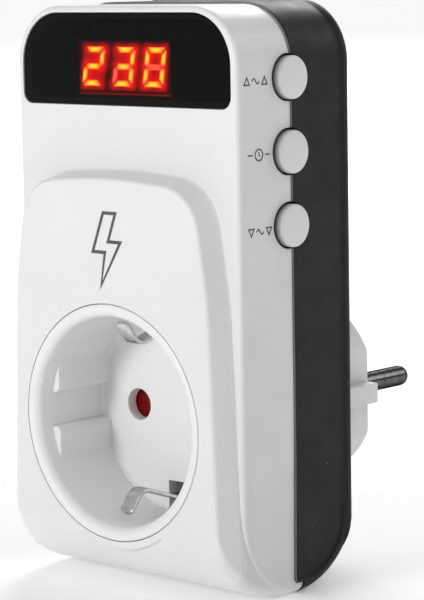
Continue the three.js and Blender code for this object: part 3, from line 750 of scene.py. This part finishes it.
def front_shell():
    """The white front cover: shell, socket platform, collar and the tab that runs past the seam."""
    depths = sorted({*quarter_depths(FRONT_Y, FRONT_ROUND[0]), PARTING_Y})
    shell = loft([body_ring(y, edge_inset(y - FRONT_Y, EDGE_RADIUS)) for y in depths])
    outer = combine(shell, [platform_shape(), collar_shape(), tab_shape()], "UNION")
    rebate_end = FRONT_Y + WINDOW_THICKNESS + CLEARANCE
    cutters = [
        front_space(),
        rod("y", INSERT_RADIUS + CLEARANCE, PLATFORM_Y - PAST, INSERT_BACK_Y + 0.2, sides=160),
        rod("y", CUP_RADIUS + CLEARANCE, FRONT_Y, -30, sides=96),
        loft([window_ring(FRONT_Y - PAST, 0), window_ring(rebate_end, 0)]),
        loft([window_ring(y, WINDOW_LEDGE) for y in (FRONT_Y, FRONT_Y + WALL + PAST)]),
        *button_holes(),
        *panel_cutters(0),
    ]
    mesh = combine(outer, cutters, "DIFFERENCE")
    add_piece("front_shell", mesh, CASING_WHITE, "front_cover")


def interpolated(table, at):
    """The value at a place in a table of (place, value), with straight lines between its rows."""
    for (near, low), (far, high) in zip(table, table[1:]):
        if near <= at <= far:
            return low + (high - low) * (at - near) / (far - near)
    return table[-1][1]


def rear_depths(seam):
    """Depths of the rear cover's sections, from its seam to its rim."""
    depths = {REAR_RIM_Y - distance for distance, _ in REAR_PROUD}
    depths |= {REAR_RIM_Y - REAR_ROUND[0] * (1 - cos(angle)) for angle in quarter_turn(24)}
    return sorted({seam, *[y for y in depths if y >= seam]})


def rear_pocket():
    """The recess inside the rim, down to the rear wall, with drafted sides."""
    half = BODY_HALF - RIM_WIDTH
    low = BODY_BOTTOM + REAR_ROUND[1] + RIM_WIDTH
    corners = mirrored([(half, low, 3), (half, BODY_TOP - RIM_WIDTH, TOP_RADIUS - RIM_WIDTH)])
    levels = ((REAR_WALL_Y, 0), (REAR_RIM_Y - 0.4, -0.2), (REAR_RIM_Y + PAST, -0.5))
    return loft([at_depth(y, rounded_outline(corners, inset)) for y, inset in levels])


def screw_rods(radius, start, end, sides=48):
    """A rod on the axis of each case screw."""
    return [rod("y", radius, start, end, x, z, sides) for x, z in CASE_SCREWS]


def rear_shell():
    """The charcoal rear cover, a little wider than the front one and flared at its rim."""
    seam = PARTING_Y + SEAT
    depths = rear_depths(seam)
    between = [y for y in depths[::3] if seam < y < REAR_INNER_Y - 0.3]
    inner_depths = sorted({seam - PAST, REAR_INNER_Y, *between})
    outer = loft([body_ring(y, -interpolated(REAR_PROUD, REAR_RIM_Y - y)) for y in depths])
    hollow = loft([body_ring(y, WALL, WALL) for y in inner_depths])
    inside = loft([body_ring(y, 0.5, 0.5) for y in (*inner_depths[1:], REAR_WALL_Y - 0.3)])
    bosses = joined(screw_rods(BOSS_RADIUS, seam + PAST, REAR_WALL_Y - 0.4))
    mesh = combine(outer, [hollow], "DIFFERENCE")
    mesh = combine(mesh, [combine(bosses, [inside], "INTERSECT")], "UNION")

    through = (REAR_INNER_Y - PAST, REAR_RIM_Y + PAST)
    rib_x, rib_z = NOSE_RIB_X + 0.4, NOSE_RIB_HALF + NOSE_CLEARANCE
    tab_z = (BODY_BOTTOM - PAST, BODY_BOTTOM + TAB_HEIGHT + CLEARANCE)
    cutters = [
        rear_pocket(),
        block((-WIDE, WIDE), (seam - PAST, TAB_Y + CLEARANCE), tab_z),
        rod("y", NOSE_RADIUS + NOSE_CLEARANCE, *through, sides=96),
        block((-rib_x, rib_x), through, (-rib_z, rib_z)),
        *screw_rods(WELL_RADIUS, WELL_FLOOR_Y, REAR_RIM_Y + PAST),
        *screw_rods(BORE_RADIUS, WELL_FLOOR_Y - 6, WELL_FLOOR_Y + PAST, 32),
        *button_holes(),
        *panel_cutters(REAR_STEP),
    ]
    mesh = combine(mesh, cutters, "DIFFERENCE")
    add_piece("rear_shell", mesh, DARK, "rear_cover")


def case_screws():
    """Zinc-plated cross-head screws at the bottom of the rear wells."""
    base = WELL_FLOOR_Y + SEAT
    top = base + 2.2
    head, head_side, dome = 2.8, 0.8, 1.1
    profile = [(0.05, base - 12), (1.1, base - 11), (1.35, base - 10), (1.35, base), (2.7, base)]
    profile += [(head, base + 0.1), (head, base + head_side)]
    profile += arc((0, base + head_side), (head, dome), (0.25, 0.5, 0.75, 1.0, 1.25, 1.5))
    for number, (x, z) in enumerate(CASE_SCREWS, 1):
        slots = []
        for u, v in ((1.6, 0.35), (0.35, 1.6)):
            slots.append(block((x - u, x + u), (top - 1.4, top + PAST), (z - v, z + v)))
        screw = combine(lathe("y", profile, x, z, 48), slots, "DIFFERENCE")
        node = f"case_screw_{number}"
        add_piece(f"cross_head_screw_{number}", screw, SCREW, node)


# ---- display


def window():
    """The smoked window, its face just inside the white rim and its edge broken."""
    face = FRONT_Y + SEAT
    stations = ((0, 0.45), (0.04, 0.3), (0.14, 0.17), (0.3, 0.1), (WINDOW_THICKNESS, 0.1))
    mesh = loft([window_ring(face + depth, inset) for depth, inset in stations])
    add_piece("smoked_window", mesh, SMOKED, "display_window")


# lit and faintly lit bars of each digit, by letter: a top, b and c right, d bottom, e and f left, g middle
LIT = ("abdeg", "abcdg", "abcdef")
IDLE = ("", "e", "g")
DIGIT_X = (-8.6, -0.9, 6.8)
DIGIT_Z = 64.0
PLATE_Z = 63.75
DIGIT_FACE_Y = -47.72
PLATE_HALF = (3.84, 4.93)
DISPLAY_HALF = (11.54, 4.93)
BAR_HALF = (2.52, 3.55)
BAR_WIDTH = 1.05
LEAN = tan(radians(9))

# rings of a raised bar, from its foot to its middle: (share of its outline, height, glow)
BAR_RINGS = ((1.0, 0.0, 0.35), (1.0, 0.1, 0.45), (0.85, 0.14, 0.65), (0.6, 0.15, 0.85), (0.3, 0.15, 0.95))

# colours of light by glow
PLATE_STOPS = ((0.0, (0.02, 0.0, 0.0)), (0.5, (0.4, 0.001, 0.001)), (1.0, (0.95, 0.003, 0.003)))
LIT_STOPS = ((0.0, (0.75, 0.04, 0.02)), (0.66, (0.98, 0.24, 0.035)), (1.0, (1.0, 0.8, 0.015)))
IDLE_STOPS = ((0.0, (0.9, 0.03, 0.02)), (1.0, (0.98, 0.11, 0.065)))


def flipped(points, flip_x, flip_z):
    """Corners mirrored by the signs in x and z, in the opposite order."""
    return [(flip_x * x, flip_z * z) for x, z in reversed(points)]


def bar_corners():
    """Each bar as six mitred corners round the digit's centre, with gaps between bars."""
    outer_x, outer_z = BAR_HALF
    inner_x, inner_z = outer_x - BAR_WIDTH, outer_z - BAR_WIDTH
    half = BAR_WIDTH / 2
    gap = 0.27
    tip = 0.25
    end = outer_x - gap - tip
    top = [(-end, outer_z), (end, outer_z), (end, outer_z - tip)]
    top += [(inner_x - gap, inner_z), (-inner_x + gap, inner_z), (-end, outer_z - tip)]
    right = [(outer_x - tip, outer_z - gap - tip), (outer_x, outer_z - gap - 2 * tip), (outer_x, gap + tip)]
    right += [(outer_x - half, gap / 2), (inner_x, half), (inner_x, inner_z - gap)]
    middle = [(-inner_x, half), (inner_x - gap, half), (outer_x - half - gap, 0), (inner_x - gap, -half)]
    middle += [(-inner_x + gap, -half), (-outer_x + half + gap, 0)]
    low_right = flipped(right, 1, -1)
    return {
        "a": top,
        "b": right,
        "c": low_right,
        "d": flipped(top, 1, -1),
        "e": flipped(low_right, -1, 1),
        "f": flipped(right, -1, 1),
        "g": middle,
    }


def glow_mesh(vertices, faces, glow):
    """A mesh with a glow value at each vertex."""
    mesh = make_mesh(vertices, faces)
    attribute = mesh.attributes.new("glow", "FLOAT", "POINT")
    attribute.data.foreach_set("value", glow)
    return mesh


def leaned(x, z, centre_x):
    return centre_x + x + z * LEAN, DIGIT_Z + z


def light_bars(corner_sets, centre_x):
    """Raised bars that glow most at their middle; each is rings of corners closing in on it."""
    vertices, faces, glow = [], [], []
    for corners in corner_sets:
        size = len(corners)
        mid_x = sum(x for x, _ in corners) / size
        mid_z = sum(z for _, z in corners) / size
        start = len(vertices)
        for share, height, value in BAR_RINGS:
            for x, z in corners:
                u, v = leaned(mid_x + share * (x - mid_x), mid_z + share * (z - mid_z), centre_x)
                vertices.append((u, DIGIT_FACE_Y - height, v))
                glow.append(value)
        u, v = leaned(mid_x, mid_z, centre_x)
        vertices.append((u, DIGIT_FACE_Y - BAR_RINGS[-1][1], v))
        glow.append(1.0)
        middle = len(vertices) - 1
        last = middle - size
        for here in range(start, last, size):
            for i in range(size):
                j = (i + 1) % size
                faces.append((here + i, here + j, here + size + j, here + size + i))
        faces += [(last + i, last + (i + 1) % size, middle) for i in range(size)]
        faces.append(tuple(start + i for i in reversed(range(size))))
    return glow_mesh(vertices, faces, glow)


def outline_samples(bars):
    """Points along the outlines of every lit bar of the three digits."""
    samples = []
    for centre_x, letters in zip(DIGIT_X, LIT):
        for corners in [bars[letter] for letter in letters]:
            for (x0, z0), (x1, z1) in zip(corners, corners[1:] + corners[:1]):
                for t in (0, 0.33, 0.67):
                    samples.append(leaned(x0 + (x1 - x0) * t, z0 + (z1 - z0) * t, centre_x))
    return samples


def plate_glow(x, z, samples):
    """How brightly the epoxy glows: lit bars near by count for more inside a digit's own cell."""
    spread, cell_fade, edge_fade = 1.5, 0.75, 1.5
    light = sum(exp(-((x - u) ** 2 + (z - v) ** 2) / spread) for u, v in samples)
    height = z - DIGIT_Z
    sideways = min(abs(x - centre_x - height * LEAN) for centre_x in DIGIT_X)
    outside = max(sideways - BAR_HALF[0], abs(height) - BAR_HALF[1], 0)
    share = 0.08 + 0.19 * exp(-((outside / cell_fade) ** 2))
    half_x, half_z = DISPLAY_HALF
    from_edge = min(half_z - abs(z - PLATE_Z), half_x - abs(x - DIGIT_X[1]))
    shade = 0.12 + 0.88 * min(max(from_edge / edge_fade, 0), 1)
    return (1 - exp(-share * light - 0.035)) * shade


def light_plate(samples, centre_x):
    """One digit's red epoxy face, with a faint line along its foot."""
    columns, rows = 30, 38
    across = columns + 1
    foot = {0: 0.06, 1: 0.25, 2: 0.06, 3: 0.1}
    half_x, half_z = PLATE_HALF
    vertices, glow = [], []
    for depth in (0.0, 0.12):
        for r in range(rows + 1):
            for c in range(across):
                x = centre_x + half_x * (2 * c / columns - 1)
                z = PLATE_Z + half_z * (2 * r / rows - 1)
                vertices.append((x, DIGIT_FACE_Y + depth, z))
                glow.append(foot[r] if r in foot else plate_glow(x, z, samples))
    layer = (rows + 1) * across
    faces = []
    for r in range(rows):
        for c in range(columns):
            a = r * across + c
            quad = (a, a + 1, a + across + 1, a + across)
            faces.append(quad)
            faces.append(tuple(layer + i for i in reversed(quad)))
    rim = list(range(across))
    rim += [r * across + columns for r in range(1, rows + 1)]
    rim += [rows * across + c for c in reversed(range(columns))]
    rim += [r * across for r in reversed(range(1, rows))]
    for a, b in zip(rim, rim[1:] + rim[:1]):
        faces.append((a, b, layer + b, layer + a))
    return glow_mesh(vertices, faces, glow)


def digits():
    """Three leaning seven-bar digits that read 2, 3 and 0, with faint light in two idle bars."""
    plate_look = glowing("digit_epoxy", PLATE_STOPS, 11.0)
    lit_look = glowing("lit_bar", LIT_STOPS, 12.5)
    idle_look = glowing("idle_bar", IDLE_STOPS, 12.5)
    bars = bar_corners()
    samples = outline_samples(bars)
    for number, (centre_x, lit, idle) in enumerate(zip(DIGIT_X, LIT, IDLE), 1):
        plate = light_plate(samples, centre_x)
        node = f"led_digit_{number}"
        add_piece(f"digit_{number}_face", plate, plate_look, node)
        shown = light_bars([bars[letter] for letter in lit], centre_x)
        add_piece(f"digit_{number}_lit_bars", shown, lit_look)
        if idle:
            faint = light_bars([bars[letter] for letter in idle], centre_x)
            add_piece(f"digit_{number}_idle_bar", faint, idle_look)


# ---- socket


def cup_profile():
    """Half the socket cup's section, from its back over its rounded lip to its floor."""
    profile = [(CUP_RADIUS, FLOOR_BACK_Y), (CUP_RADIUS, INSERT_BACK_Y), (INSERT_RADIUS, INSERT_BACK_Y)]
    profile += [(INSERT_RADIUS, PLATFORM_Y + 0.25), (INSERT_RADIUS - 0.1, PLATFORM_Y)]
    profile.append((INSERT_RADIUS - 0.32, PLATFORM_Y - 0.15))
    lip_centre = (RECESS_RADIUS + LIP_RADIUS, PLATFORM_Y - 0.2 + LIP_RADIUS)
    profile += arc(lip_centre, (-LIP_RADIUS, -LIP_RADIUS), reversed(quarter_turn(10)))
    return [*profile, (RECESS_RADIUS - 0.05, FLOOR_Y - 0.5), (RECESS_RADIUS - 0.5, FLOOR_Y)]


def guide_pads():
    """The four guide pads on the wall of the recess, rounded where they face the notches."""
    start, end = FLOOR_Y - PAD_DEPTH, FLOOR_Y + 0.4
    limit = rod("y", RECESS_RADIUS + 0.6, start - PAST, end, sides=96)
    outer_x = 20.4
    rounded = arc((PAD_X + PAD_CORNER, NOTCH_HALF + PAD_CORNER), (-PAD_CORNER, -PAD_CORNER), quarter_turn(4))
    corner = [(PAD_X, PAD_TOP_Z), *rounded, (outer_x, NOTCH_HALF), (outer_x, PAD_TOP_Z)]
    pads = []
    for side in (-1, 1):
        for up in (-1, 1):
            outline = [(side * x, up * z) for x, z in corner]
            pad = loft([at_depth(start, outline), at_depth(end, outline)])
            pads.append(combine(bevelled(pad, 0.3, 3, 35), [limit], "INTERSECT"))
    return pads


def socket_cup():
    """The white socket insert: rounded lip, deep cup, four guide pads, two pin holes, two clip slots."""
    cup = combine(lathe("y", cup_profile(), sides=160), guide_pads(), "UNION")
    behind = -34
    countersunk = [(PIN_HOLE_RADIUS + 0.35, FLOOR_Y - 0.4), (PIN_HOLE_RADIUS, FLOOR_Y + 0.3)]
    countersunk.append((PIN_HOLE_RADIUS, behind))
    cutters = [lathe("y", countersunk, x, 0, 64) for x in (-PIN_X, PIN_X)]
    for side in (-1, 1):
        slot_z = (side * SLOT_INNER, side * SLOT_OUTER)
        cutters.append(block((-SLOT_HALF, SLOT_HALF), (FLOOR_Y - 0.6, behind), slot_z))
    cup = combine(cup, cutters, "DIFFERENCE")
    add_piece("socket_cup", cup, SOCKET_WHITE, "socket_insert")


def shutter():
    """The red plate behind the pin holes, with two holes of its own and a notch for its spring."""
    plate = bevelled(block((-SHUTTER_HALF, SHUTTER_HALF), SHUTTER_Y, SHUTTER_Z), 0.2)
    through = (SHUTTER_Y[0] - PAST, SHUTTER_Y[1] + PAST)
    cutters = [rod("y", PIN_HOLE_RADIUS, *through, x, -SHUTTER_TRAVEL, 48) for x in (-PIN_X, PIN_X)]
    cutters.append(block((-SHUTTER_NOTCH_HALF, SHUTTER_NOTCH_HALF), through, (SHUTTER_NOTCH_Z, 5)))
    mesh = combine(plate, cutters, "DIFFERENCE")
    add_piece("red_shutter", mesh, RED, "safety_shutter", "shutter")


def shutter_spring():
    """The compression spring above the shutter, which shortens towards its top end as the shutter rises."""
    low, high = SPRING_Z
    wire, turns, end_turns = SPRING_WIRE, 8, 1.25
    closed = end_turns * 2.1 * wire
    # height of the wire's middle by turn: closed end coils, open ones between
    heights = [(0, low + wire), (end_turns, low + wire + closed)]
    heights += [(turns - end_turns, high - wire - closed), (turns, high - wire)]
    steps, sides = 24, 8
    upward = Vector((0, 0, 1))
    rings = []
    for i in range(turns * steps + 1):
        angle = 2 * pi * i / steps
        outward = Vector((cos(angle), sin(angle), 0))
        centre = Vector((0, SPRING_Y, interpolated(heights, i / steps))) + SPRING_RADIUS * outward
        around = [2 * pi * s / sides for s in range(sides)]
        rings.append([centre + wire * (cos(turned) * outward + sin(turned) * upward) for turned in around])
    coil = loft(rings)
    spring = add_piece("coil_spring", coil, SPRING, "shutter_spring", sharp=60)
    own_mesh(spring)


def smooth_path(points, per_span=8):
    """Catmull-Rom points through a list of (y, z)."""
    ends = [Vector(p) for p in (points[0], *points, points[-1])]
    path = []
    for p0, p1, p2, p3 in zip(ends, ends[1:], ends[2:], ends[3:]):
        slope = p2 - p0
        bend = 2 * p0 - 5 * p1 + 4 * p2 - p3
        twist = 3 * p1 - p0 - 3 * p2 + p3
        for i in range(per_span):
            t = i / per_span
            path.append(0.5 * (2 * p1 + slope * t + bend * t**2 + twist * t**3))
    path.append(Vector(points[-1]))
    return path


def sprung_strip(path, width, thickness, tip_radius=1.0):
    """A rolled strip that follows a path in the Y-Z plane, its edges rounded and its last end too."""
    lengths = [0.0]
    for a, b in zip(path, path[1:]):
        lengths.append(lengths[-1] + (b - a).length)
    face, edge = thickness / 2, thickness / 2 - 0.16
    lower = [(-0.5, -edge), (-0.45, -face), (0.45, -face), (0.5, -edge)]
    section = [*lower, *[(-u, -v) for u, v in lower]]
    rings = []
    for i, point in enumerate(path):
        along = (path[min(i + 1, len(path) - 1)] - path[max(i - 1, 0)]).normalized()
        normal = Vector((-along.y, along.x))
        left = max(tip_radius - (lengths[-1] - lengths[i]), 0)
        narrowed = width - 2 * (tip_radius - sqrt(max(tip_radius**2 - left**2, 0.0)))
        rings.append([(u * narrowed, point.x + v * normal.x, point.y + v * normal.y) for u, v in section])
    return loft(rings)


def earth_clips():
    """The two nickel-plated earth strips, out of the floor, over a crest and back towards the wall."""
    path = [(-28.85, 16.6), (-33, 16.5), (-37.6, 16.4), (-41.2, 15.3), (-44.8, 14.1)]
    path += [(-46.4, 13.6), (-47.7, 13.7), (-48.8, 14.4), (-49.9, 15.8), (-50.9, 17.3)]
    for side, name, spread in ((1, "top", 0.05), (-1, "bottom", 0.0)):
        bent = [(y, side * (z + spread * max(FLOOR_Y - y, 0))) for y, z in path]
        strip = sprung_strip(smooth_path(bent), 3.2, 0.8)
        body, node = f"{name}_earth_clip", f"earth_clip_{name}"
        add_piece(f"earth_strip_{name}", strip, NICKEL, node, body, 50)


# ---- buttons, plug


def buttons():
    """The three grey caps: a soft edge, a barely domed face, a flange and hub inside."""
    edge, crown = 0.45, 0.12
    profile = [(0.1, 23.45), (1.7, 23.45), (1.7, 24.1), (4.6, 24.1), (4.6, 24.9)]
    profile += [(BUTTON_RADIUS, 24.9), (BUTTON_RADIUS, 27.6)]
    profile += arc((BUTTON_RADIUS - edge, BUTTON_FACE_X - crown - edge), (edge, edge), quarter_turn(8))
    for share in (0.8, 0.6, 0.4, 0.2, 0.02):
        profile.append(((BUTTON_RADIUS - edge) * share, BUTTON_FACE_X - crown * share**2))
    for number, (body, z) in enumerate(zip(("upper_button", "middle_button", "lower_button"), BUTTON_Z), 1):
        mesh = lathe("x", profile, BUTTON_Y, z)
        add_piece(f"cap_{number}", mesh, BUTTON, f"button_{number}", body)


def plug_nose():
    """The grey plug body: round, flat on both sides with a rib on each flat, grooved for the contacts."""
    start = REAR_INNER_Y - SEAT
    profile = [(NOSE_FLANGE_RADIUS, REAR_INNER_Y - 2.05), (NOSE_FLANGE_RADIUS, start), (NOSE_RADIUS, start)]
    profile += [(NOSE_RADIUS - edge_inset(depth, 0.8), -depth) for depth in (0.8, 0.5, 0.25, 0.08, 0.0)]
    flats, ribs, grooves = [], [], []
    for side in (-1, 1):
        flats.append(block((side * NOSE_FLAT_X, side * WIDE), (start, PAST), (-20, 20)))
        rib_x = (side * (NOSE_FLAT_X - 0.5), side * NOSE_RIB_X)
        rib = block(rib_x, (REAR_INNER_Y - PAST, -0.4), (-NOSE_RIB_HALF, NOSE_RIB_HALF))
        ribs.append(bevelled(rib, 0.3))
        grooves.append(block((-3.3, 3.3), (-27, -3), (side * 16.2, side * 21)))
    nose = combine(lathe("y", profile, sides=160), flats, "DIFFERENCE")
    nose = combine(nose, ribs, "UNION")
    cavity = rod("y", 14.5, -27, -7)
    bores = [rod("y", PIN_RADIUS + SEAT, -8, PAST, x, 0, 48) for x in (-PIN_X, PIN_X)]
    nose = combine(nose, [*grooves, cavity, *bores], "DIFFERENCE")
    add_piece("plug_nose", nose, GREY, "plug_base")


def plug_pins():
    """Two nickel-plated pins with domed ends, headed inside the nose."""
    profile = [(0.05, -13), (2.9, -13), (3, -12.9), (3, -7.05), (PIN_RADIUS, -7.05)]
    profile += arc((0, PIN_LENGTH - PIN_RADIUS), (PIN_RADIUS, PIN_RADIUS), quarter_turn(10)[:-1])
    for x, name in ((-PIN_X, "line"), (PIN_X, "neutral")):
        mesh = lathe("y", profile, x, 0, 64)
        add_piece(f"pin_{name}", mesh, PAINTED_DARK_PIN_NICKEL, f"plug_pin_{name}")


def plug_earth_strips():
    """The earth strips in the nose's top and bottom grooves."""
    path = [(-27.95, 17), (-23, 17), (-19, 17), (-17, 17.2), (-15, 17.5)]
    path += [(-11.5, 17.5), (-8, 17.5), (-6, 17.3), (-4, 16.9)]
    for side, name in ((1, "top"), (-1, "bottom")):
        strip = sprung_strip(smooth_path([(y, side * z) for y, z in path], 5), 5.8, 0.8, 0.6)
        node = f"plug_earth_contact_{name}"
        add_piece(f"nose_earth_strip_{name}", strip, NICKEL, node, sharp=50)


# ---- printed marks

INK_LEVELS = (-0.01, 0.03)
MARK_WIDTH = 0.26
BOLT_WIDTH = 0.62
BOLT_Z = 31.6
BOLT_SIZE = (7.0, 6.6)
BOLT = [(-0.10, 1.0), (-0.50, -0.08), (-0.06, -0.08), (-0.22, -1.0), (0.50, 0.22), (0.06, 0.22), (0.34, 1.0)]

# left end of each side mark along Y, and its height
SIDE_MARKS = ((-47.5, 61.75), (-46.95, 48.95), (-46.85, 35.5))


def stroke(path, width, place, closed=False):
    """A flat inked line along a path of (u, v); place turns (u, v, height) into a point."""
    points = [Vector(p) for p in path]
    count = len(points)
    low, high = INK_LEVELS
    rings = []
    for i, point in enumerate(points):
        before = points[i - 1] if closed or i else point
        after = points[(i + 1) % count] if closed or i < count - 1 else point
        ahead, behind = (after - point).normalized(), (point - before).normalized()
        along = (ahead + behind).normalized()
        mitre = max(along.dot(ahead), along.dot(behind), 0.35)
        side = Vector((-along.y, along.x)) * (width / 2 / mitre)
        left, right = point + side, point - side
        rings.append([place(*left, low), place(*left, high), place(*right, high), place(*right, low)])
    return loft(rings, closed)


def on_platform(u, v, height):
    return (u, PLATFORM_Y - height, v)


def on_flank(u, v, height):
    return (BODY_HALF + height, u, v)


def front_mark():
    """A plain outlined lightning bolt above the socket."""
    half_width, half_height = BOLT_SIZE
    path = [(half_width * u, BOLT_Z + half_height * v) for u, v in BOLT]
    add_piece("bolt_mark", stroke(path, BOLT_WIDTH, on_platform, True), INK)


def circle(centre, radius, sides=28):
    return arc(centre, (radius, radius), [2 * pi * i / sides for i in range(sides)])


def wave(start, end, v, steps=20):
    """One period of a sine wave."""
    height = 0.45
    points = []
    for i in range(steps + 1):
        points.append((start + (end - start) * i / steps, v + height * sin(2 * pi * i / steps)))
    return points


def delay_mark(left, right, z):
    """A clock face between two dashes."""
    middle = left + 3.1
    hands = [(middle, z + 0.62), (middle, z), (middle + 0.45, z - 0.3)]
    return [
        stroke(circle((middle, z), 1.0), MARK_WIDTH, on_flank, True),
        stroke(hands, 0.2, on_flank),
        stroke([(left + 0.2, z), (left + 1.5, z)], MARK_WIDTH, on_flank),
        stroke([(left + 4.7, z), (right - 0.2, z)], MARK_WIDTH, on_flank),
    ]


def limit_mark(left, right, z, up):
    """A wave between two triangles that point up or down."""
    strokes = [stroke(wave(left + 2.1, left + 4.0, z), MARK_WIDTH, on_flank)]
    for u in (left + 0.75, right - 0.75):
        triangle = [(u - 0.7, z - up * 0.6), (u + 0.7, z - up * 0.6), (u, z + up * 0.7)]
        strokes.append(stroke(triangle, MARK_WIDTH, on_flank, True))
    return strokes


def side_marks():
    """Small pictograms beside the buttons: upper limit, delay, lower limit."""
    for number, (left, z) in enumerate(SIDE_MARKS, 1):
        right = left + 6.1
        if number == 2:
            strokes = delay_mark(left, right, z)
        else:
            strokes = limit_mark(left, right, z, 1 if number == 1 else -1)
        add_piece(f"side_mark_{number}", joined(strokes), INK)


# ---- parts that keep their CAD shape


# material slot, colour, roughness and clear coat of the electronic parts
COMPONENTS = (
    ("led_body", (0.012, 0.01, 0.01), 0.5, 0.0),
    ("black_component", (0.012, 0.012, 0.013), 0.5, 0.0),
    ("blue_component", (0.02, 0.07, 0.3), 0.35, 0.4),
    ("yellow_component", (0.55, 0.35, 0.03), 0.35, 0.4),
    ("brown_wire", (0.08, 0.03, 0.012), 0.45, 0.0),
    ("blue_wire", (0.02, 0.09, 0.4), 0.45, 0.0),
)


def finish_cad_nodes():
    """Gives every CAD node that still shows the procedural material of its slot."""
    looks = {
        "grey_plastic": GREY,
        "spring_steel": SPRING,
        "brass": BRASS,
        "circuit_board": circuit_board(),
    }
    for slot, colour, roughness, gloss in COMPONENTS:
        looks[slot] = component(slot, colour, roughness, gloss)
    slot_of = {row["node"]: row["material_slot"] for row in frame["record"]["subparts"]}
    for name, node in frame["nodes"].items():
        if node.hide_render:
            continue
        for material_slot in node.material_slots:
            material_slot.link = "OBJECT"
            material_slot.material = looks[slot_of[name]]


# ---- set


def camera():
    """The camera, at the angle and distance the object is seen from."""
    azimuth, elevation, roll = radians(42.86), radians(7.79), radians(-1.01)
    target = Vector((20.84, -49.3, 23.6)) * MM
    distance = 425.3 * MM
    level = cos(elevation)
    back = Vector((sin(azimuth) * level, -cos(azimuth) * level, sin(elevation)))
    right = Vector((cos(azimuth), sin(azimuth), 0))
    up = back.cross(right)
    rolled_right = cos(roll) * right + sin(roll) * up
    rolled_up = cos(roll) * up - sin(roll) * right
    data = bpy.data.cameras.new("camera")
    data.lens = 145.5
    data.sensor_width = 36
    data.clip_start = 0.01
    data.clip_end = 20
    seen = placed("camera", data)
    turned = Matrix((rolled_right, rolled_up, back)).transposed().to_4x4()
    seen.matrix_world = Matrix.Translation(target + back * distance) @ turned
    bpy.context.scene.camera = seen


def area_light(name, place, aim, size, power):
    """A round soft light. Places and sizes are in metres."""
    data = bpy.data.lights.new(name, "AREA")
    data.shape = "DISK"
    data.size = size
    data.energy = power
    light = placed(name, data)
    light.location = place
    light.rotation_mode = "QUATERNION"
    light.rotation_quaternion = (Vector(aim) - Vector(place)).to_track_quat("-Z", "Y")


def studio_floor():
    """A pale floor just under the object, in metres. It glows more strongly further away."""
    half = 60.0
    low = cad_box[0].z - 0.0002
    corners = [(-half, -half, low), (half, -half, low), (half, half, low), (-half, half, low)]
    data = bpy.data.meshes.new("floor")
    data.from_pydata(corners, [], [(0, 1, 2, 3)])
    floor = placed("floor", data)
    paper = Material("floor_paper", (0.85, 0.85, 0.85), 0.8)
    reach = paper.node("VectorMath", {0: paper.place, 1: (0.1, -0.3, low)}, operation="DISTANCE")
    glow = paper.ranged(reach.outputs["Value"], 0.3, 0.9, 0.24, 0.65)
    data.materials.append(paper.done(Emission_Color=(1, 1, 1, 1), Emission_Strength=glow))


def surround():
    """A surround that is white where it is seen directly, and lights the object less from +X."""
    world = bpy.data.worlds.new("surround")
    sky = Nodes(world)
    direction = sky.node("SeparateXYZ", {0: sky.node("TexCoord", {}).outputs["Generated"]})
    fall = sky.ranged(direction.outputs["X"], -0.4, 0.8, 0.4, 0.22)
    seen = sky.node("LightPath", {}).outputs["Is Camera Ray"]
    strength = sky.node("Math", {0: fall, 1: seen}, operation="MAXIMUM")
    sky.feed(sky.nodes["Background"], {"Color": (1, 1, 1, 1), "Strength": strength.outputs[0]})
    bpy.context.scene.world = world


def studio():
    """A pale floor, a white surround and four soft lights, the last of them on the ground behind."""
    studio_floor()
    surround()
    aim = (0, -0.045, 0.02)
    area_light("key", (-0.14, -1.05, 0.3), aim, 0.28, 4.65)
    area_light("fill", (0.58, -0.25, 0.53), aim, 0.3, 0.88)
    area_light("rear", (0.5, 0.7, 0.5), aim, 0.5, 1.5)
    area_light("backdrop", (-0.9, 1.3, 1.2), (-0.6, 0.8, 0), 1.0, 20)
    bpy.context.scene.view_settings.view_transform = "Standard"


camera()
studio()
front_shell()
rear_shell()
case_screws()
window()
digits()
socket_cup()
shutter()
shutter_spring()
earth_clips()
buttons()
plug_nose()
plug_pins()
plug_earth_strips()
front_mark()
side_marks()
finish_cad_nodes()
